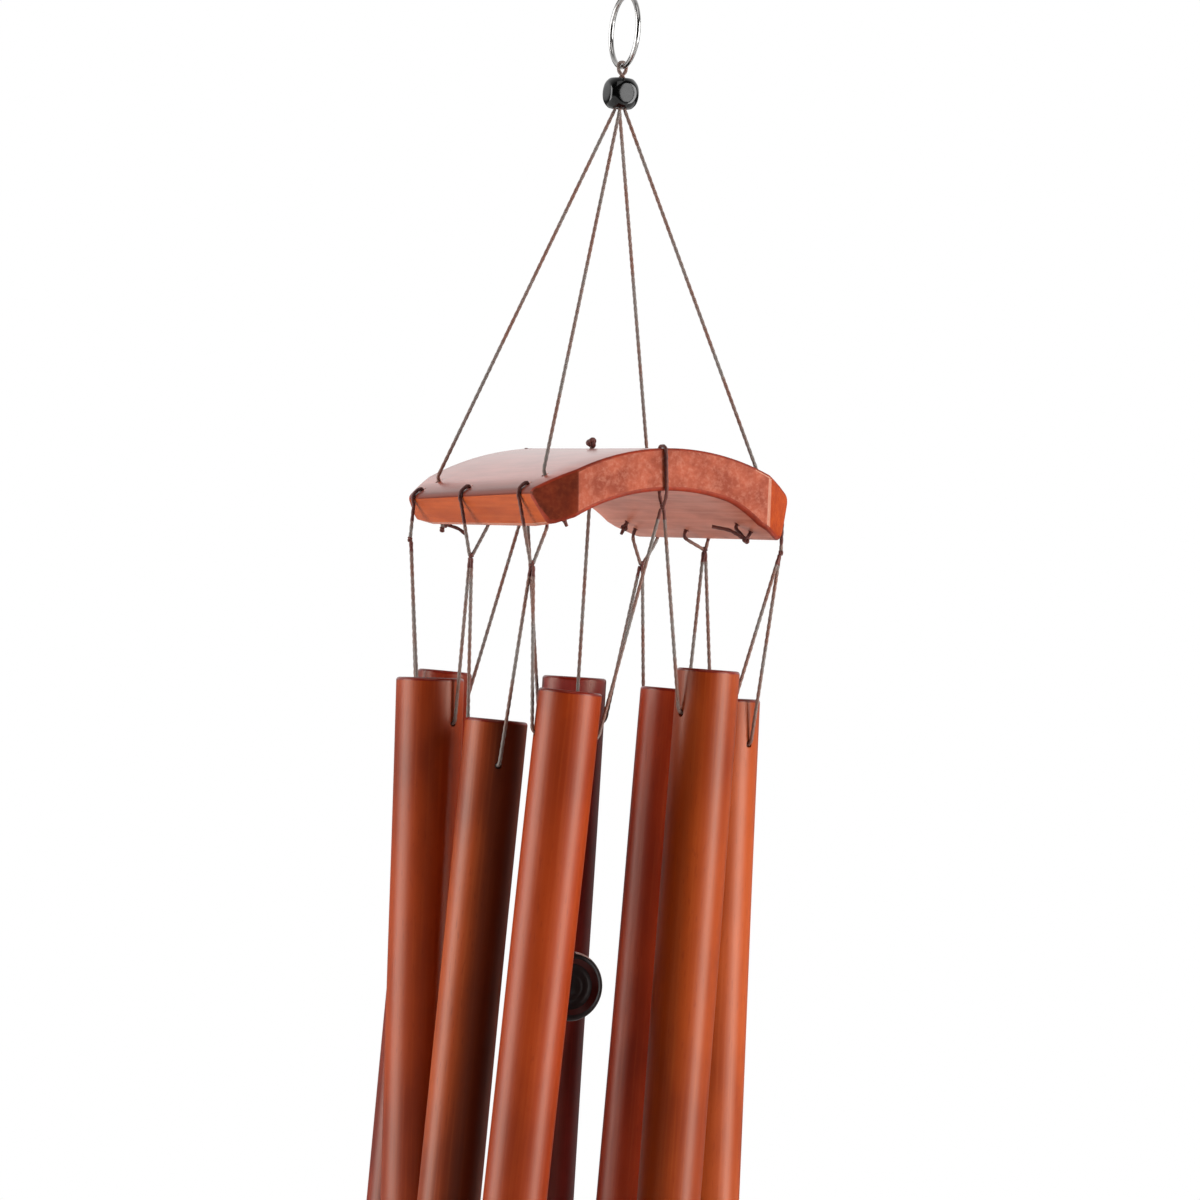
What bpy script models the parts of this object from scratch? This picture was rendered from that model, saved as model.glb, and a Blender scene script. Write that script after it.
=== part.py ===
"""Hanging bamboo wind chime: steel ring, bead, arched top plate, eight tubes, striker and sail.

The origin is where a hook carries the ring. X runs across the plate's arch, Y along it, Z up.
"""

import math

import bmesh
import bpy
from mathutils import Matrix, Vector

# Shared sizes, in metres
MM = 0.001
FIT = 0.35 * MM  # gap left between pieces that touch
CORD = 1.5 * MM  # cord, across
BORE_FIT = 0.45 * MM  # gap all round a cord in its hole
KNOT_RADIUS = 2.3 * MM

# Hanging ring
RING_INNER_RADIUS = 13.0 * MM
RING_WIRE = 2.0 * MM
RING_TURN = math.radians(-7.0)

# Bead under the ring: a ball with six flats
BEAD_FLATS = 12.2 * MM
BEAD_BALL_RADIUS = 7.4 * MM
BEAD_BORE_RADIUS = 3.5 * MM
BEAD_TURN = math.radians(-6.0)
BEAD_GAP = 3.4 * MM  # ring to bead
TIE_DEPTH = 1.6 * MM  # how far the tie reaches into the bead
TIE_HALF_SPREAD = 2.0 * MM
BUNDLE_HALF_WIDTH = 0.95 * MM
CORD_INTO_BEAD = 2.0 * MM

# Arched top plate
PLATE_DROP = 132.9 * MM  # bead to the crown of the plate
PLATE_HALF_WIDTH = 57.4 * MM
PLATE_HALF_LENGTH = 61.5 * MM
PLATE_RADIUS = 102.6 * MM
PLATE_THICK = 16.4 * MM
PLATE_TILT_ACROSS = math.radians(-2.4)  # it hangs a little lower on the left
PLATE_TILT_ALONG = math.radians(-0.2)
PLATE_EDGE_ROUND = 3.5 * MM  # the upper long edges are rubbed round
PLATE_EDGE_REACH = 8.0 * MM  # flank left straight beside a rounded upper edge
PLATE_LIP = 5.5 * MM  # the wall grows this much thicker towards the right edge
PLATE_LIP_WIDTH = 31.5 * MM
PLATE_FOOT_REACH = 6.3 * MM  # where the hollow ends, from the edge
CORNER_ACROSS = 15.0 * MM
CORNER_ALONG = 11.0 * MM

# Lower long edges of the plate, left and right: in from the side, below an even wall's
# edge, both for the sharp edge before it is rubbed, and the rounding
PLATE_FEET = {-1: (7.0 * MM, 2.2 * MM, 2.6 * MM), 1: (5.2 * MM, 4.7 * MM, 5.0 * MM)}

HANGER_INSET = 12.1 * MM  # hole to side edge, along the surface
HANGER_END_INSET = 17.5 * MM  # hole to the plate's end
HANGER_KNOT_RADIUS = 2.0 * MM
HANGER_TAIL = 3.2 * MM

# Hanger cords, in order from the back left corner: which side, which end, and how far
# the knot lies from its hole: outwards, towards the end, down; three zeros mean drawn tight
HANGERS = (
    (-1, 1, (2.0 * MM, 5.5 * MM, 4.0 * MM)),
    (-1, -1, (0.0, 0.0, 0.0)),
    (1, -1, (2.0 * MM, 5.5 * MM, 4.5 * MM)),
    (1, 1, (0.0, 0.0, 0.0)),
)

# Cord loops round the plate's edge, in order from the back left corner: which
# edge, towards which end of it, shift from there, knot below the plate, knot in from the edge
LOOPS = (
    ("left", 1, 0.0, 6.2 * MM, -0.6 * MM),
    ("left", 0, 0.0, 12.0 * MM, 2.4 * MM),
    ("left", -1, 0.0, 14.3 * MM, 4.6 * MM),
    ("front", 0, -4.5 * MM, 6.0 * MM, 2.5 * MM),
    ("right", -1, 0.0, 8.0 * MM, 0.4 * MM),
    ("right", 0, 5.0 * MM, 7.5 * MM, 5.5 * MM),
    ("right", 1, 0.0, 14.0 * MM, 11.0 * MM),
    ("back", 0, 0.0, 7.0 * MM, 2.5 * MM),
)
LOOP_END_INSET = 15.5 * MM  # corner loops to the plate's end
LOOP_INSET = 5.0 * MM  # hole to edge, along the surface
LOOP_HALF_GAP = 0.95 * MM  # between the two strands where they enter the knot
LOOP_BEND = 1.5 * MM  # a loop bends no tighter, so that its inside never folds over itself

# Tubes: across, length, top below an even wall's lower edge, shift along the line between
# the two knots, lean along that line, lean outwards; a tube whose cross hole misses its
# middle leans outwards or inwards until its weight hangs below the hole
TUBES = (
    (26.5 * MM, 271.0 * MM, 62.4 * MM, 5.6 * MM, math.radians(0.9), math.radians(-1.7)),
    (24.3 * MM, 281.0 * MM, 76.7 * MM, -3.8 * MM, math.radians(-0.8), math.radians(1.9)),
    (24.5 * MM, 312.0 * MM, 63.7 * MM, -7.7 * MM, math.radians(-2.6), math.radians(-0.3)),
    (25.0 * MM, 292.0 * MM, 52.4 * MM, -3.2 * MM, math.radians(-0.7), math.radians(-0.2)),
    (25.0 * MM, 325.0 * MM, 63.3 * MM, -0.7 * MM, math.radians(-0.8), math.radians(0.9)),
    (25.9 * MM, 302.0 * MM, 61.0 * MM, -1.2 * MM, math.radians(0.6), math.radians(-1.2)),
    (25.7 * MM, 262.0 * MM, 59.0 * MM, 0.0, 0.0, 0.0),
    (22.1 * MM, 320.0 * MM, 59.7 * MM, 8.7 * MM, math.radians(2.1), math.radians(0.4)),
)
TUBE_WALL = 3.2 * MM
TUBE_HOLE_DROP = 17.5 * MM
TUBE_EDGE = 0.4 * MM
BRIDLE_SPREAD = math.radians(36.0)
BRIDLE_BEND = 1.6 * MM

# Striker: a turned drum on the centre line
STRIKER_RADIUS = 13.6 * MM
STRIKER_LENGTH = 26.0 * MM
STRIKER_EDGE = 2.6 * MM
STRIKER_DISH_RADIUS = 10.6 * MM
STRIKER_DISH = 1.8 * MM  # how deep each face is turned out
STRIKER_SHIFT = -3.0 * MM  # its hole in the plate, off the middle
STRIKER_DROP = 179.0 * MM  # an even wall's lower edge to the drum's centre
STRIKER_TURN = math.radians(-4.0)
NECK_LENGTH = 5.0 * MM
STUB_OUT = 0.6 * MM

# Sail: a flat oval slat below the tubes
SAIL_DROP = 266.0 * MM  # drum's centre to the top of the sail
SAIL_WIDTH = 56.0 * MM
SAIL_HEIGHT = 92.0 * MM
SAIL_THICK = 5.0 * MM
SAIL_EDGE = 0.8 * MM
SAIL_POWER = 2.4
SAIL_HOLE_DROP = 7.0 * MM
SAIL_KNOT_RISE = 6.5 * MM

# Mesh fineness
CORD_SIDES = 8
TUBE_SEGMENTS = 36
ARCH_SEGMENTS = 28
RING_SEGMENTS = 36
WIRE_SIDES = 10
BEND_STEPS = 4
BALL_SEGMENTS = 12
OVAL_SEGMENTS = 44
HOLE_SIDES = 12

# Sizes that follow from those above
CORD_RADIUS = CORD / 2
OFFSET = CORD_RADIUS + FIT  # a cord's centre above what it lies on
BORE_RADIUS = CORD_RADIUS + BORE_FIT
WIRE_RADIUS = RING_WIRE / 2
RING_MID_RADIUS = RING_INNER_RADIUS + WIRE_RADIUS
RING_CENTRE_Z = -RING_INNER_RADIUS
WIRE_LOW_Z = RING_CENTRE_Z - RING_MID_RADIUS
BEAD_TOP_Z = WIRE_LOW_Z - WIRE_RADIUS - BEAD_GAP
BEAD_CENTRE_Z = BEAD_TOP_Z - BEAD_FLATS / 2
BEAD_LOW_Z = BEAD_TOP_Z - BEAD_FLATS
TIE_END_Z = BEAD_TOP_Z - TIE_DEPTH
CROWN_Z = BEAD_LOW_Z - PLATE_DROP
UNDER_Z = CROWN_Z - PLATE_THICK
INNER_RADIUS = PLATE_RADIUS - PLATE_THICK
HALF_ANGLE = math.asin(PLATE_HALF_WIDTH / PLATE_RADIUS)
LOOP_ANGLE = HALF_ANGLE - LOOP_INSET / PLATE_RADIUS
LOOP_REACH = PLATE_HALF_LENGTH - LOOP_END_INSET
HANGER_ANGLE = HALF_ANGLE - HANGER_INSET / PLATE_RADIUS
HANGER_REACH = PLATE_HALF_LENGTH - HANGER_END_INSET
LIP_ANGLE = HALF_ANGLE - PLATE_LIP_WIDTH / PLATE_RADIUS
FOOT_ANGLE = HALF_ANGLE - PLATE_FOOT_REACH / PLATE_RADIUS
EDGE_ANGLE = HALF_ANGLE - PLATE_EDGE_REACH / PLATE_RADIUS
PLATE_LOW_Z = CROWN_Z - PLATE_RADIUS + INNER_RADIUS * math.cos(HALF_ANGLE)
STRIKER_Z = PLATE_LOW_Z - STRIKER_DROP
SAIL_TOP_Z = STRIKER_Z - SAIL_DROP
UP = Vector((0, 0, 1))
CROWN = Vector((0, 0, CROWN_Z))
TILT = Matrix.Rotation(PLATE_TILT_ALONG, 4, "X") @ Matrix.Rotation(PLATE_TILT_ACROSS, 4, "Y")


def material(name, colour, rough, metal=0.0):
    made = bpy.data.materials.new(name)
    made.use_nodes = True
    shader = made.node_tree.nodes["Principled BSDF"]
    shader.inputs["Base Color"].default_value = (*colour, 1)
    shader.inputs["Roughness"].default_value = rough
    shader.inputs["Metallic"].default_value = metal
    return made


def add(name, shape, look=None):
    points, faces = shape
    mesh = bpy.data.meshes.new(name)
    mesh.from_pydata([tuple(p) for p in points], [], faces)
    work = bmesh.new()
    work.from_mesh(mesh)
    bmesh.ops.recalc_face_normals(work, faces=work.faces)
    work.to_mesh(mesh)
    work.free()
    made = bpy.data.objects.new(name, mesh)
    bpy.context.scene.collection.objects.link(made)
    if look:
        mesh.materials.append(look)
    return made


def combine(target, tool, operation):
    """Cut the tool from the target, or join or intersect the two."""
    change = target.modifiers.new("combine", "BOOLEAN")
    change.operation = operation
    change.solver = "EXACT"
    change.object = tool
    bpy.context.view_layer.update()
    shown = target.evaluated_get(bpy.context.evaluated_depsgraph_get())
    result = bpy.data.meshes.new_from_object(shown)
    target.modifiers.clear()
    target.data = result
    bpy.data.objects.remove(tool)
    return target


def set_origin(thing, place):
    thing.data.transform(Matrix.Translation(-Vector(place)))
    thing.location = place


def turned(points, angle, centre):
    """Points turned about the vertical through a centre."""
    spin = Matrix.Rotation(angle, 4, "Z")
    middle = Vector(centre)
    return [spin @ (Vector(p) - middle) + middle for p in points]


def bent(points, radius):
    """A line of points with each corner rounded."""
    points = [Vector(p) for p in points]
    line = [points[0]]
    for before, corner, after in zip(points, points[1:], points[2:]):
        back = before - corner
        on = after - corner
        cut = min(radius, 0.45 * back.length, 0.45 * on.length)
        start = corner + back.normalized() * cut
        end = corner + on.normalized() * cut
        for step in range(BEND_STEPS + 1):
            u = step / BEND_STEPS
            line.append(start * (1 - u) ** 2 + corner * 2 * u * (1 - u) + end * u**2)
    line.append(points[-1])
    return line


def sweep(line, radius, sides=CORD_SIDES):
    """A round bar along a line; radius is a number, or one for each point."""
    line = [Vector(p) for p in line]
    radii = radius if isinstance(radius, (list, tuple)) else [radius] * len(line)
    points = []
    side = None
    for i, place in enumerate(line):
        ahead = line[min(i + 1, len(line) - 1)] - line[max(i - 1, 0)]
        ahead.normalize()
        if side is None:
            side = ahead.orthogonal()
        side = (side - ahead * side.dot(ahead)).normalized()
        other = ahead.cross(side)
        for k in range(sides):
            a = 2 * math.pi * k / sides
            points.append(place + radii[i] * (math.cos(a) * side + math.sin(a) * other))
    faces = [tuple(reversed(range(sides)))]
    for i in range(len(line) - 1):
        for k in range(sides):
            n = (k + 1) % sides
            faces.append((i * sides + k, i * sides + n, (i + 1) * sides + n, (i + 1) * sides + k))
    last = (len(line) - 1) * sides
    faces.append(tuple(range(last, last + sides)))
    return points, faces


def revolved(profile, segments, closed):
    """Radius and height pairs turned about Z; an open profile starts and ends on the axis."""
    points = []
    faces = []
    body = profile if closed else profile[1:-1]
    count = len(body)
    for k in range(segments):
        a = 2 * math.pi * k / segments
        points += [Vector((r * math.cos(a), r * math.sin(a), z)) for r, z in body]
    for k in range(segments):
        n = (k + 1) % segments
        for i in range(count if closed else count - 1):
            j = (i + 1) % count
            faces.append((k * count + i, n * count + i, n * count + j, k * count + j))
    if not closed:
        first = len(points)
        points += [Vector((0, 0, profile[0][1])), Vector((0, 0, profile[-1][1]))]
        for k in range(segments):
            n = (k + 1) % segments
            faces.append((first, n * count, k * count))
            faces.append((first + 1, k * count + count - 1, n * count + count - 1))
    return points, faces


def ball(centre, radius, segments=BALL_SEGMENTS):
    half = segments // 2
    profile = [
        (radius * math.sin(math.pi * i / half), radius * math.cos(math.pi * i / half))
        for i in range(half + 1)
    ]
    points, faces = revolved(profile, segments, False)
    return [p + Vector(centre) for p in points], faces


def prism(outline, low, high):
    """A plan outline carried straight up from low to high."""
    count = len(outline)
    points = [Vector((x, y, low)) for x, y in outline]
    points += [Vector((x, y, high)) for x, y in outline]
    faces = [tuple(range(count)), tuple(range(count, 2 * count))]
    for i in range(count):
        j = (i + 1) % count
        faces.append((i, j, count + j, count + i))
    return points, faces


def joined(shapes):
    points = []
    faces = []
    for more, rings in shapes:
        start = len(points)
        points += more
        faces += [tuple(start + i for i in ring) for ring in rings]
    return points, faces


def hung(place):
    """A point of the level plate, on the plate as it hangs."""
    return TILT @ (Vector(place) - CROWN) + CROWN


def arch(angle, radius, y=0.0):
    """A point of the level plate's section at an angle from the crown."""
    return Vector((radius * math.sin(angle), y, CROWN_Z - PLATE_RADIUS + radius * math.cos(angle)))


def hanging_ring(look):
    points = []
    faces = []
    for k in range(RING_SEGMENTS):
        a = 2 * math.pi * k / RING_SEGMENTS
        out = Vector((0, math.sin(a), math.cos(a)))
        for i in range(WIRE_SIDES):
            b = 2 * math.pi * i / WIRE_SIDES
            across = WIRE_RADIUS * (math.cos(b) * out + math.sin(b) * Vector((1, 0, 0)))
            points.append(out * RING_MID_RADIUS + across + UP * RING_CENTRE_Z)
    for k in range(RING_SEGMENTS):
        n = (k + 1) % RING_SEGMENTS
        for i in range(WIRE_SIDES):
            j = (i + 1) % WIRE_SIDES
            row = k * WIRE_SIDES
            nxt = n * WIRE_SIDES
            faces.append((row + i, row + j, nxt + j, nxt + i))
    return add("hanging_ring", (turned(points, RING_TURN, (0, 0, 0)), faces), look)


def ring_tie(look):
    """One cord over the ring's wire, both legs down into the bead."""
    wrap = WIRE_RADIUS + OFFSET
    over = []
    for step in range(9):
        a = math.pi * step / 8
        over.append(Vector((wrap * math.cos(a), 0, WIRE_LOW_Z + wrap * math.sin(a))))
    below = WIRE_LOW_Z - wrap
    spread = TIE_HALF_SPREAD
    legs = []
    for sign in (1, -1):
        leg = [
            (0, sign * spread, TIE_END_Z),
            (0, sign * spread, BEAD_TOP_Z),
            (sign * wrap, sign * WIRE_RADIUS, below),
        ]
        legs.append([Vector(p) for p in leg])
    line = legs[0] + over + list(reversed(legs[1]))
    line = turned(bent(line, CORD_RADIUS), RING_TURN, (0, 0, 0))
    made = add("ring_tie", sweep(line, CORD_RADIUS), look)
    set_origin(made, (0, 0, RING_CENTRE_Z))


def gather_bead(look):
    middle = Vector((0, 0, BEAD_CENTRE_Z))
    half = BEAD_FLATS / 2
    corners = [(half, half), (-half, half), (-half, -half), (half, -half)]
    block, faces = prism(corners, BEAD_LOW_Z, BEAD_TOP_Z)
    made = add("gather_bead", (turned(block, BEAD_TURN, middle), faces), look)
    combine(made, add("round", ball(middle, BEAD_BALL_RADIUS, 2 * BALL_SEGMENTS)), "INTERSECT")
    reach = BEAD_FLATS
    bore = sweep([middle + UP * reach, middle - UP * reach], BEAD_BORE_RADIUS, 2 * HOLE_SIDES)
    combine(made, add("bore", bore), "DIFFERENCE")
    set_origin(made, (0, 0, TIE_END_Z))


def under_radius(angle):
    """Radius of the plate's hollow, less where the wall thickens towards the right edge."""
    share = (angle - LIP_ANGLE) / (HALF_ANGLE - LIP_ANGLE)
    return INNER_RADIUS - PLATE_LIP * max(0.0, share) ** 1.3


def foot(sx):
    """Where a side and the underside would meet in a sharp edge."""
    inset, drop, _ = PLATE_FEET[sx]
    return Vector((sx * (PLATE_HALF_WIDTH - inset), 0, PLATE_LOW_Z - drop))


def flank(sx):
    """One side of the plate's section, from the outer arc round both edges to the hollow."""
    start = arch(sx * EDGE_ANGLE, PLATE_RADIUS)
    tip = arch(sx * HALF_ANGLE, PLATE_RADIUS)
    between = tip.lerp(foot(sx), 0.41)
    end = arch(sx * FOOT_ANGLE, under_radius(sx * FOOT_ANGLE))
    upper = bent([start, tip, between], PLATE_EDGE_ROUND)
    lower = bent([between, foot(sx), end], PLATE_FEET[sx][2])
    return upper[:-1] + lower[1:]


def plate_section():
    shares = [2 * i / ARCH_SEGMENTS - 1 for i in range(ARCH_SEGMENTS + 1)]
    outer = [arch(share * EDGE_ANGLE, PLATE_RADIUS) for share in shares]
    angles = [-share * FOOT_ANGLE for share in shares]
    hollow = [arch(angle, under_radius(angle)) for angle in angles]
    return outer + flank(1)[1:-1] + hollow + flank(-1)[-2:0:-1]


def top_plate(look):
    section = plate_section()
    count = len(section)
    ends = (Vector((0, -PLATE_HALF_LENGTH, 0)), Vector((0, PLATE_HALF_LENGTH, 0)))
    points = [place + end for end in ends for place in section]
    faces = [tuple(range(count)), tuple(range(count, 2 * count))]
    for i in range(count):
        j = (i + 1) % count
        faces.append((i, j, count + j, count + i))
    made = add("top_plate", (points, faces), look)
    cuts = []
    past = PLATE_THICK
    for sx in (1, -1):
        for sy in (1, -1):
            side = Vector((sx * PLATE_HALF_WIDTH, sy * (PLATE_HALF_LENGTH - CORNER_ALONG)))
            end = Vector((sx * (PLATE_HALF_WIDTH - CORNER_ACROSS), sy * PLATE_HALF_LENGTH))
            along = (end - side).normalized() * past
            out = Vector((sx * CORNER_ALONG, sy * CORNER_ACROSS)).normalized() * past
            outline = [side - along, end + along, end + along + out, side - along + out]
            cuts.append(prism(outline, PLATE_LOW_Z - past, CROWN_Z + past))
    combine(made, add("corners", joined(cuts)), "DIFFERENCE")
    holes = []
    high = PLATE_RADIUS + PLATE_THICK / 2
    low = INNER_RADIUS - PLATE_THICK / 2
    spots = []
    for edge, end, shift, _, _ in LOOPS:
        if edge in ("left", "right"):
            angle = LOOP_ANGLE if edge == "right" else -LOOP_ANGLE
            spots.append((angle, end * LOOP_REACH + shift))
        else:
            hole = PLATE_HALF_LENGTH - LOOP_INSET
            spots.append((math.asin(shift / PLATE_RADIUS), hole if edge == "back" else -hole))
    for sx in (1, -1):
        for sy in (1, -1):
            spots.append((sx * HANGER_ANGLE, sy * HANGER_REACH))
    for angle, y in spots:
        holes.append(sweep([arch(angle, low, y), arch(angle, high, y)], BORE_RADIUS, HOLE_SIDES))
    middle = Vector((STRIKER_SHIFT, 0, 0))
    past = UP * PLATE_THICK / 2
    ends = [middle + UP * UNDER_Z - past, middle + UP * CROWN_Z + past]
    holes.append(sweep(ends, BORE_RADIUS, HOLE_SIDES))
    combine(made, add("holes", joined(holes)), "DIFFERENCE")
    for vertex in made.data.vertices:
        vertex.co = hung(vertex.co)
    set_origin(made, (0, 0, BEAD_LOW_Z))


def hanger_cord(number, sx, sy, slack, look):
    start = Vector((sx * BUNDLE_HALF_WIDTH, sy * TIE_HALF_SPREAD, BEAD_LOW_Z + CORD_INTO_BEAD))
    leave = Vector((start.x, start.y, BEAD_LOW_Z))
    y = sy * HANGER_REACH
    into = hung(arch(sx * HANGER_ANGLE, PLATE_RADIUS + CORD, y))
    low = under_radius(sx * HANGER_ANGLE)
    through = hung(arch(sx * HANGER_ANGLE, low, y))
    out = hung(arch(sx * HANGER_ANGLE, low - CORD, y))
    line = [start, leave, into, through]
    if any(slack):
        line.append(out)
        knot = out + Vector((sx * slack[0], sy * slack[1], -slack[2]))
        ahead = (knot - out).normalized()
    else:
        ahead = (out - through).normalized()
        knot = through + ahead * (HANGER_KNOT_RADIUS + FIT)
    line = bent([*line, knot - ahead * 1.1 * HANGER_KNOT_RADIUS], CORD_RADIUS)
    radii = [CORD_RADIUS] * len(line)
    for step in (-1.0, -0.7, 0.0, 0.7, 1.0):
        line.append(knot + ahead * step * HANGER_KNOT_RADIUS)
        radii.append(CORD_RADIUS + (HANGER_KNOT_RADIUS - CORD_RADIUS) * math.sqrt(1 - step**2))
    line.append(knot + ahead * HANGER_TAIL)
    radii.append(CORD_RADIUS)
    made = add(f"hanger_cord_{number}", sweep(line, radii), look)
    set_origin(made, (0, 0, BEAD_LOW_Z))


def loop_route(edge, end, shift, drop, inset):
    """A loop's centre line round the plate's edge, and the middle of its knot."""
    if edge in ("left", "right"):
        sx = 1 if edge == "right" else -1
        place = end * LOOP_REACH + shift
        tip = arch(sx * HALF_ANGLE, PLATE_RADIUS, place)
        face = arch(sx * (HALF_ANGLE + math.pi / 2), OFFSET) - arch(0, 0)
        top = arch(sx * HALF_ANGLE, OFFSET) - arch(0, 0)
        over = arch(sx * LOOP_ANGLE, PLATE_RADIUS + OFFSET, place)
        under = arch(sx * LOOP_ANGLE, under_radius(sx * LOOP_ANGLE) - CORD, place)
        knot = Vector((sx * (PLATE_HALF_WIDTH - inset), place, PLATE_LOW_Z - drop))
        gap = Vector((sx * LOOP_HALF_GAP, 0, 0))
        middle = [tip + face + top, over, under]
        if inset > PLATE_FEET[sx][0]:
            middle.insert(0, foot(sx) + Vector((sx * OFFSET, place, 0)))
    else:
        sy = 1 if edge == "back" else -1
        angle = math.asin(shift / PLATE_RADIUS)
        hole = sy * (PLATE_HALF_LENGTH - LOOP_INSET)
        out = sy * (PLATE_HALF_LENGTH + OFFSET)
        low = INNER_RADIUS - CORD
        high = PLATE_RADIUS + OFFSET
        knot = arch(angle, INNER_RADIUS - drop, sy * (PLATE_HALF_LENGTH - inset))
        gap = Vector((0, sy * LOOP_HALF_GAP, 0))
        middle = [arch(angle, low, out), arch(angle, high, out)]
        middle += [arch(angle, high, hole), arch(angle, low, hole)]
    line = [knot + gap, *middle, knot - gap]
    return [hung(p) for p in line], hung(knot)


def edge_loop(number, line, knot, look):
    made = add(f"edge_loop_{number}", sweep(bent(line, LOOP_BEND), CORD_RADIUS), look)
    combine(made, add("knot", ball(knot, KNOT_RADIUS)), "UNION")
    set_origin(made, (0, 0, BEAD_LOW_Z))


def tube_and_bridle(number, size, first, second, tube_look, cord_look):
    across, length, drop, shift, lean, swing = size
    radius = across / 2
    first = Vector(first)
    second = Vector(second)
    along = (second - first) * Vector((1, 1, 0))
    along.normalize()
    pin = (first + second) / 2 + along * shift
    pin.z = PLATE_LOW_Z - drop - TUBE_HOLE_DROP
    bore = along * math.cos(lean) + UP * math.sin(lean)
    rise = UP * math.cos(lean) - along * math.sin(lean)
    rise = rise * math.cos(swing) - bore.cross(rise) * math.sin(swing)
    third = bore.cross(rise)
    aside = (TUBE_HOLE_DROP - length / 2) * math.tan(swing)
    middle = pin + third * aside
    inner = radius - TUBE_WALL
    low = TUBE_HOLE_DROP - length
    profile = [
        (inner, low + TUBE_EDGE),
        (inner + TUBE_EDGE, low),
        (radius - TUBE_EDGE, low),
        (radius, low + TUBE_EDGE),
        (radius, TUBE_HOLE_DROP - TUBE_EDGE),
        (radius - TUBE_EDGE, TUBE_HOLE_DROP),
        (inner + TUBE_EDGE, TUBE_HOLE_DROP),
        (inner, TUBE_HOLE_DROP - TUBE_EDGE),
    ]
    points, faces = revolved(profile, TUBE_SEGMENTS, True)
    points = [middle + bore * p.x + third * p.y + rise * p.z for p in points]
    tube = add(f"tube_{number}", (points, faces), tube_look)
    cutter = sweep([pin - bore * across, pin + bore * across], BORE_RADIUS, HOLE_SIDES)
    combine(tube, add("cross_hole", cutter), "DIFFERENCE")
    set_origin(tube, pin)
    wide = math.sqrt(radius**2 - aside**2) + OFFSET
    reach = KNOT_RADIUS + 2 * FIT
    inward = along * math.sin(BRIDLE_SPREAD) * reach
    down = UP * math.cos(BRIDLE_SPREAD) * reach
    line = [
        first + inward - down,
        pin - bore * wide,
        pin + bore * wide,
        second - inward - down,
    ]
    bridle = add(f"bridle_{number}", sweep(bent(line, BRIDLE_BEND), CORD_RADIUS), cord_look)
    set_origin(bridle, first)


def striker_line(cord_look, drum_look):
    knot_z = CROWN_Z + FIT + KNOT_RADIUS
    profile = [(0.0, knot_z + KNOT_RADIUS)]
    for step in range(1, 6):
        a = math.pi * step / 7
        profile.append((KNOT_RADIUS * math.sin(a), knot_z + KNOT_RADIUS * math.cos(a)))
    stub_z = UNDER_Z - STUB_OUT
    profile += [(CORD_RADIUS, knot_z - KNOT_RADIUS), (CORD_RADIUS, stub_z), (0.0, stub_z)]
    points, faces = revolved(profile, BALL_SEGMENTS, False)
    shift = Vector((STRIKER_SHIFT, 0, 0))
    knot = add("striker_top_knot", ([hung(p + shift) for p in points], faces), cord_look)
    set_origin(knot, (0, 0, BEAD_LOW_Z))
    pivot = hung(shift + UP * (stub_z - FIT))
    centre = Vector((pivot.x, pivot.y, 0))
    neck_low = pivot.z - NECK_LENGTH
    neck = sweep([pivot, centre + UP * neck_low], CORD_RADIUS)
    set_origin(add("striker_neck", neck, cord_look), pivot)
    cord_top = neck_low - FIT
    under = STRIKER_Z - STRIKER_RADIUS
    stop = under - FIT - KNOT_RADIUS
    profile = [(0.0, cord_top), (CORD_RADIUS, cord_top), (CORD_RADIUS, stop + KNOT_RADIUS)]
    for step in range(2, 7):
        a = math.pi * step / 7
        profile.append((KNOT_RADIUS * math.sin(a), stop + KNOT_RADIUS * math.cos(a)))
    profile.append((0.0, stop - KNOT_RADIUS))
    points, faces = revolved(profile, CORD_SIDES, False)
    cord = add("striker_cord", ([p + centre for p in points], faces), cord_look)
    set_origin(cord, centre + UP * cord_top)
    half = STRIKER_LENGTH / 2
    dished = half - STRIKER_DISH
    outline = [(0.0, dished), (STRIKER_DISH_RADIUS - STRIKER_DISH / 2, dished)]
    outline.append((STRIKER_DISH_RADIUS, half))
    for step in range(4):
        a = math.pi / 2 * step / 3
        flat = STRIKER_RADIUS - STRIKER_EDGE
        outline.append((flat + STRIKER_EDGE * math.sin(a), half - STRIKER_EDGE * (1 - math.cos(a))))
    outline += [(r, -z) for r, z in reversed(outline)]
    points, faces = revolved(outline, TUBE_SEGMENTS, False)
    points = [Vector((p.x, p.z, p.y + STRIKER_Z)) for p in points]
    points = [p + centre for p in turned(points, STRIKER_TURN, (0, 0, 0))]
    drum = add("striker", (points, faces), drum_look)
    reach = UP * 2 * STRIKER_RADIUS
    middle = centre + UP * STRIKER_Z
    bore = sweep([middle - reach, middle + reach], BORE_RADIUS, HOLE_SIDES)
    combine(drum, add("bore", bore), "DIFFERENCE")
    set_origin(drum, centre + UP * cord_top)
    return centre + UP * (stop - KNOT_RADIUS)


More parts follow.
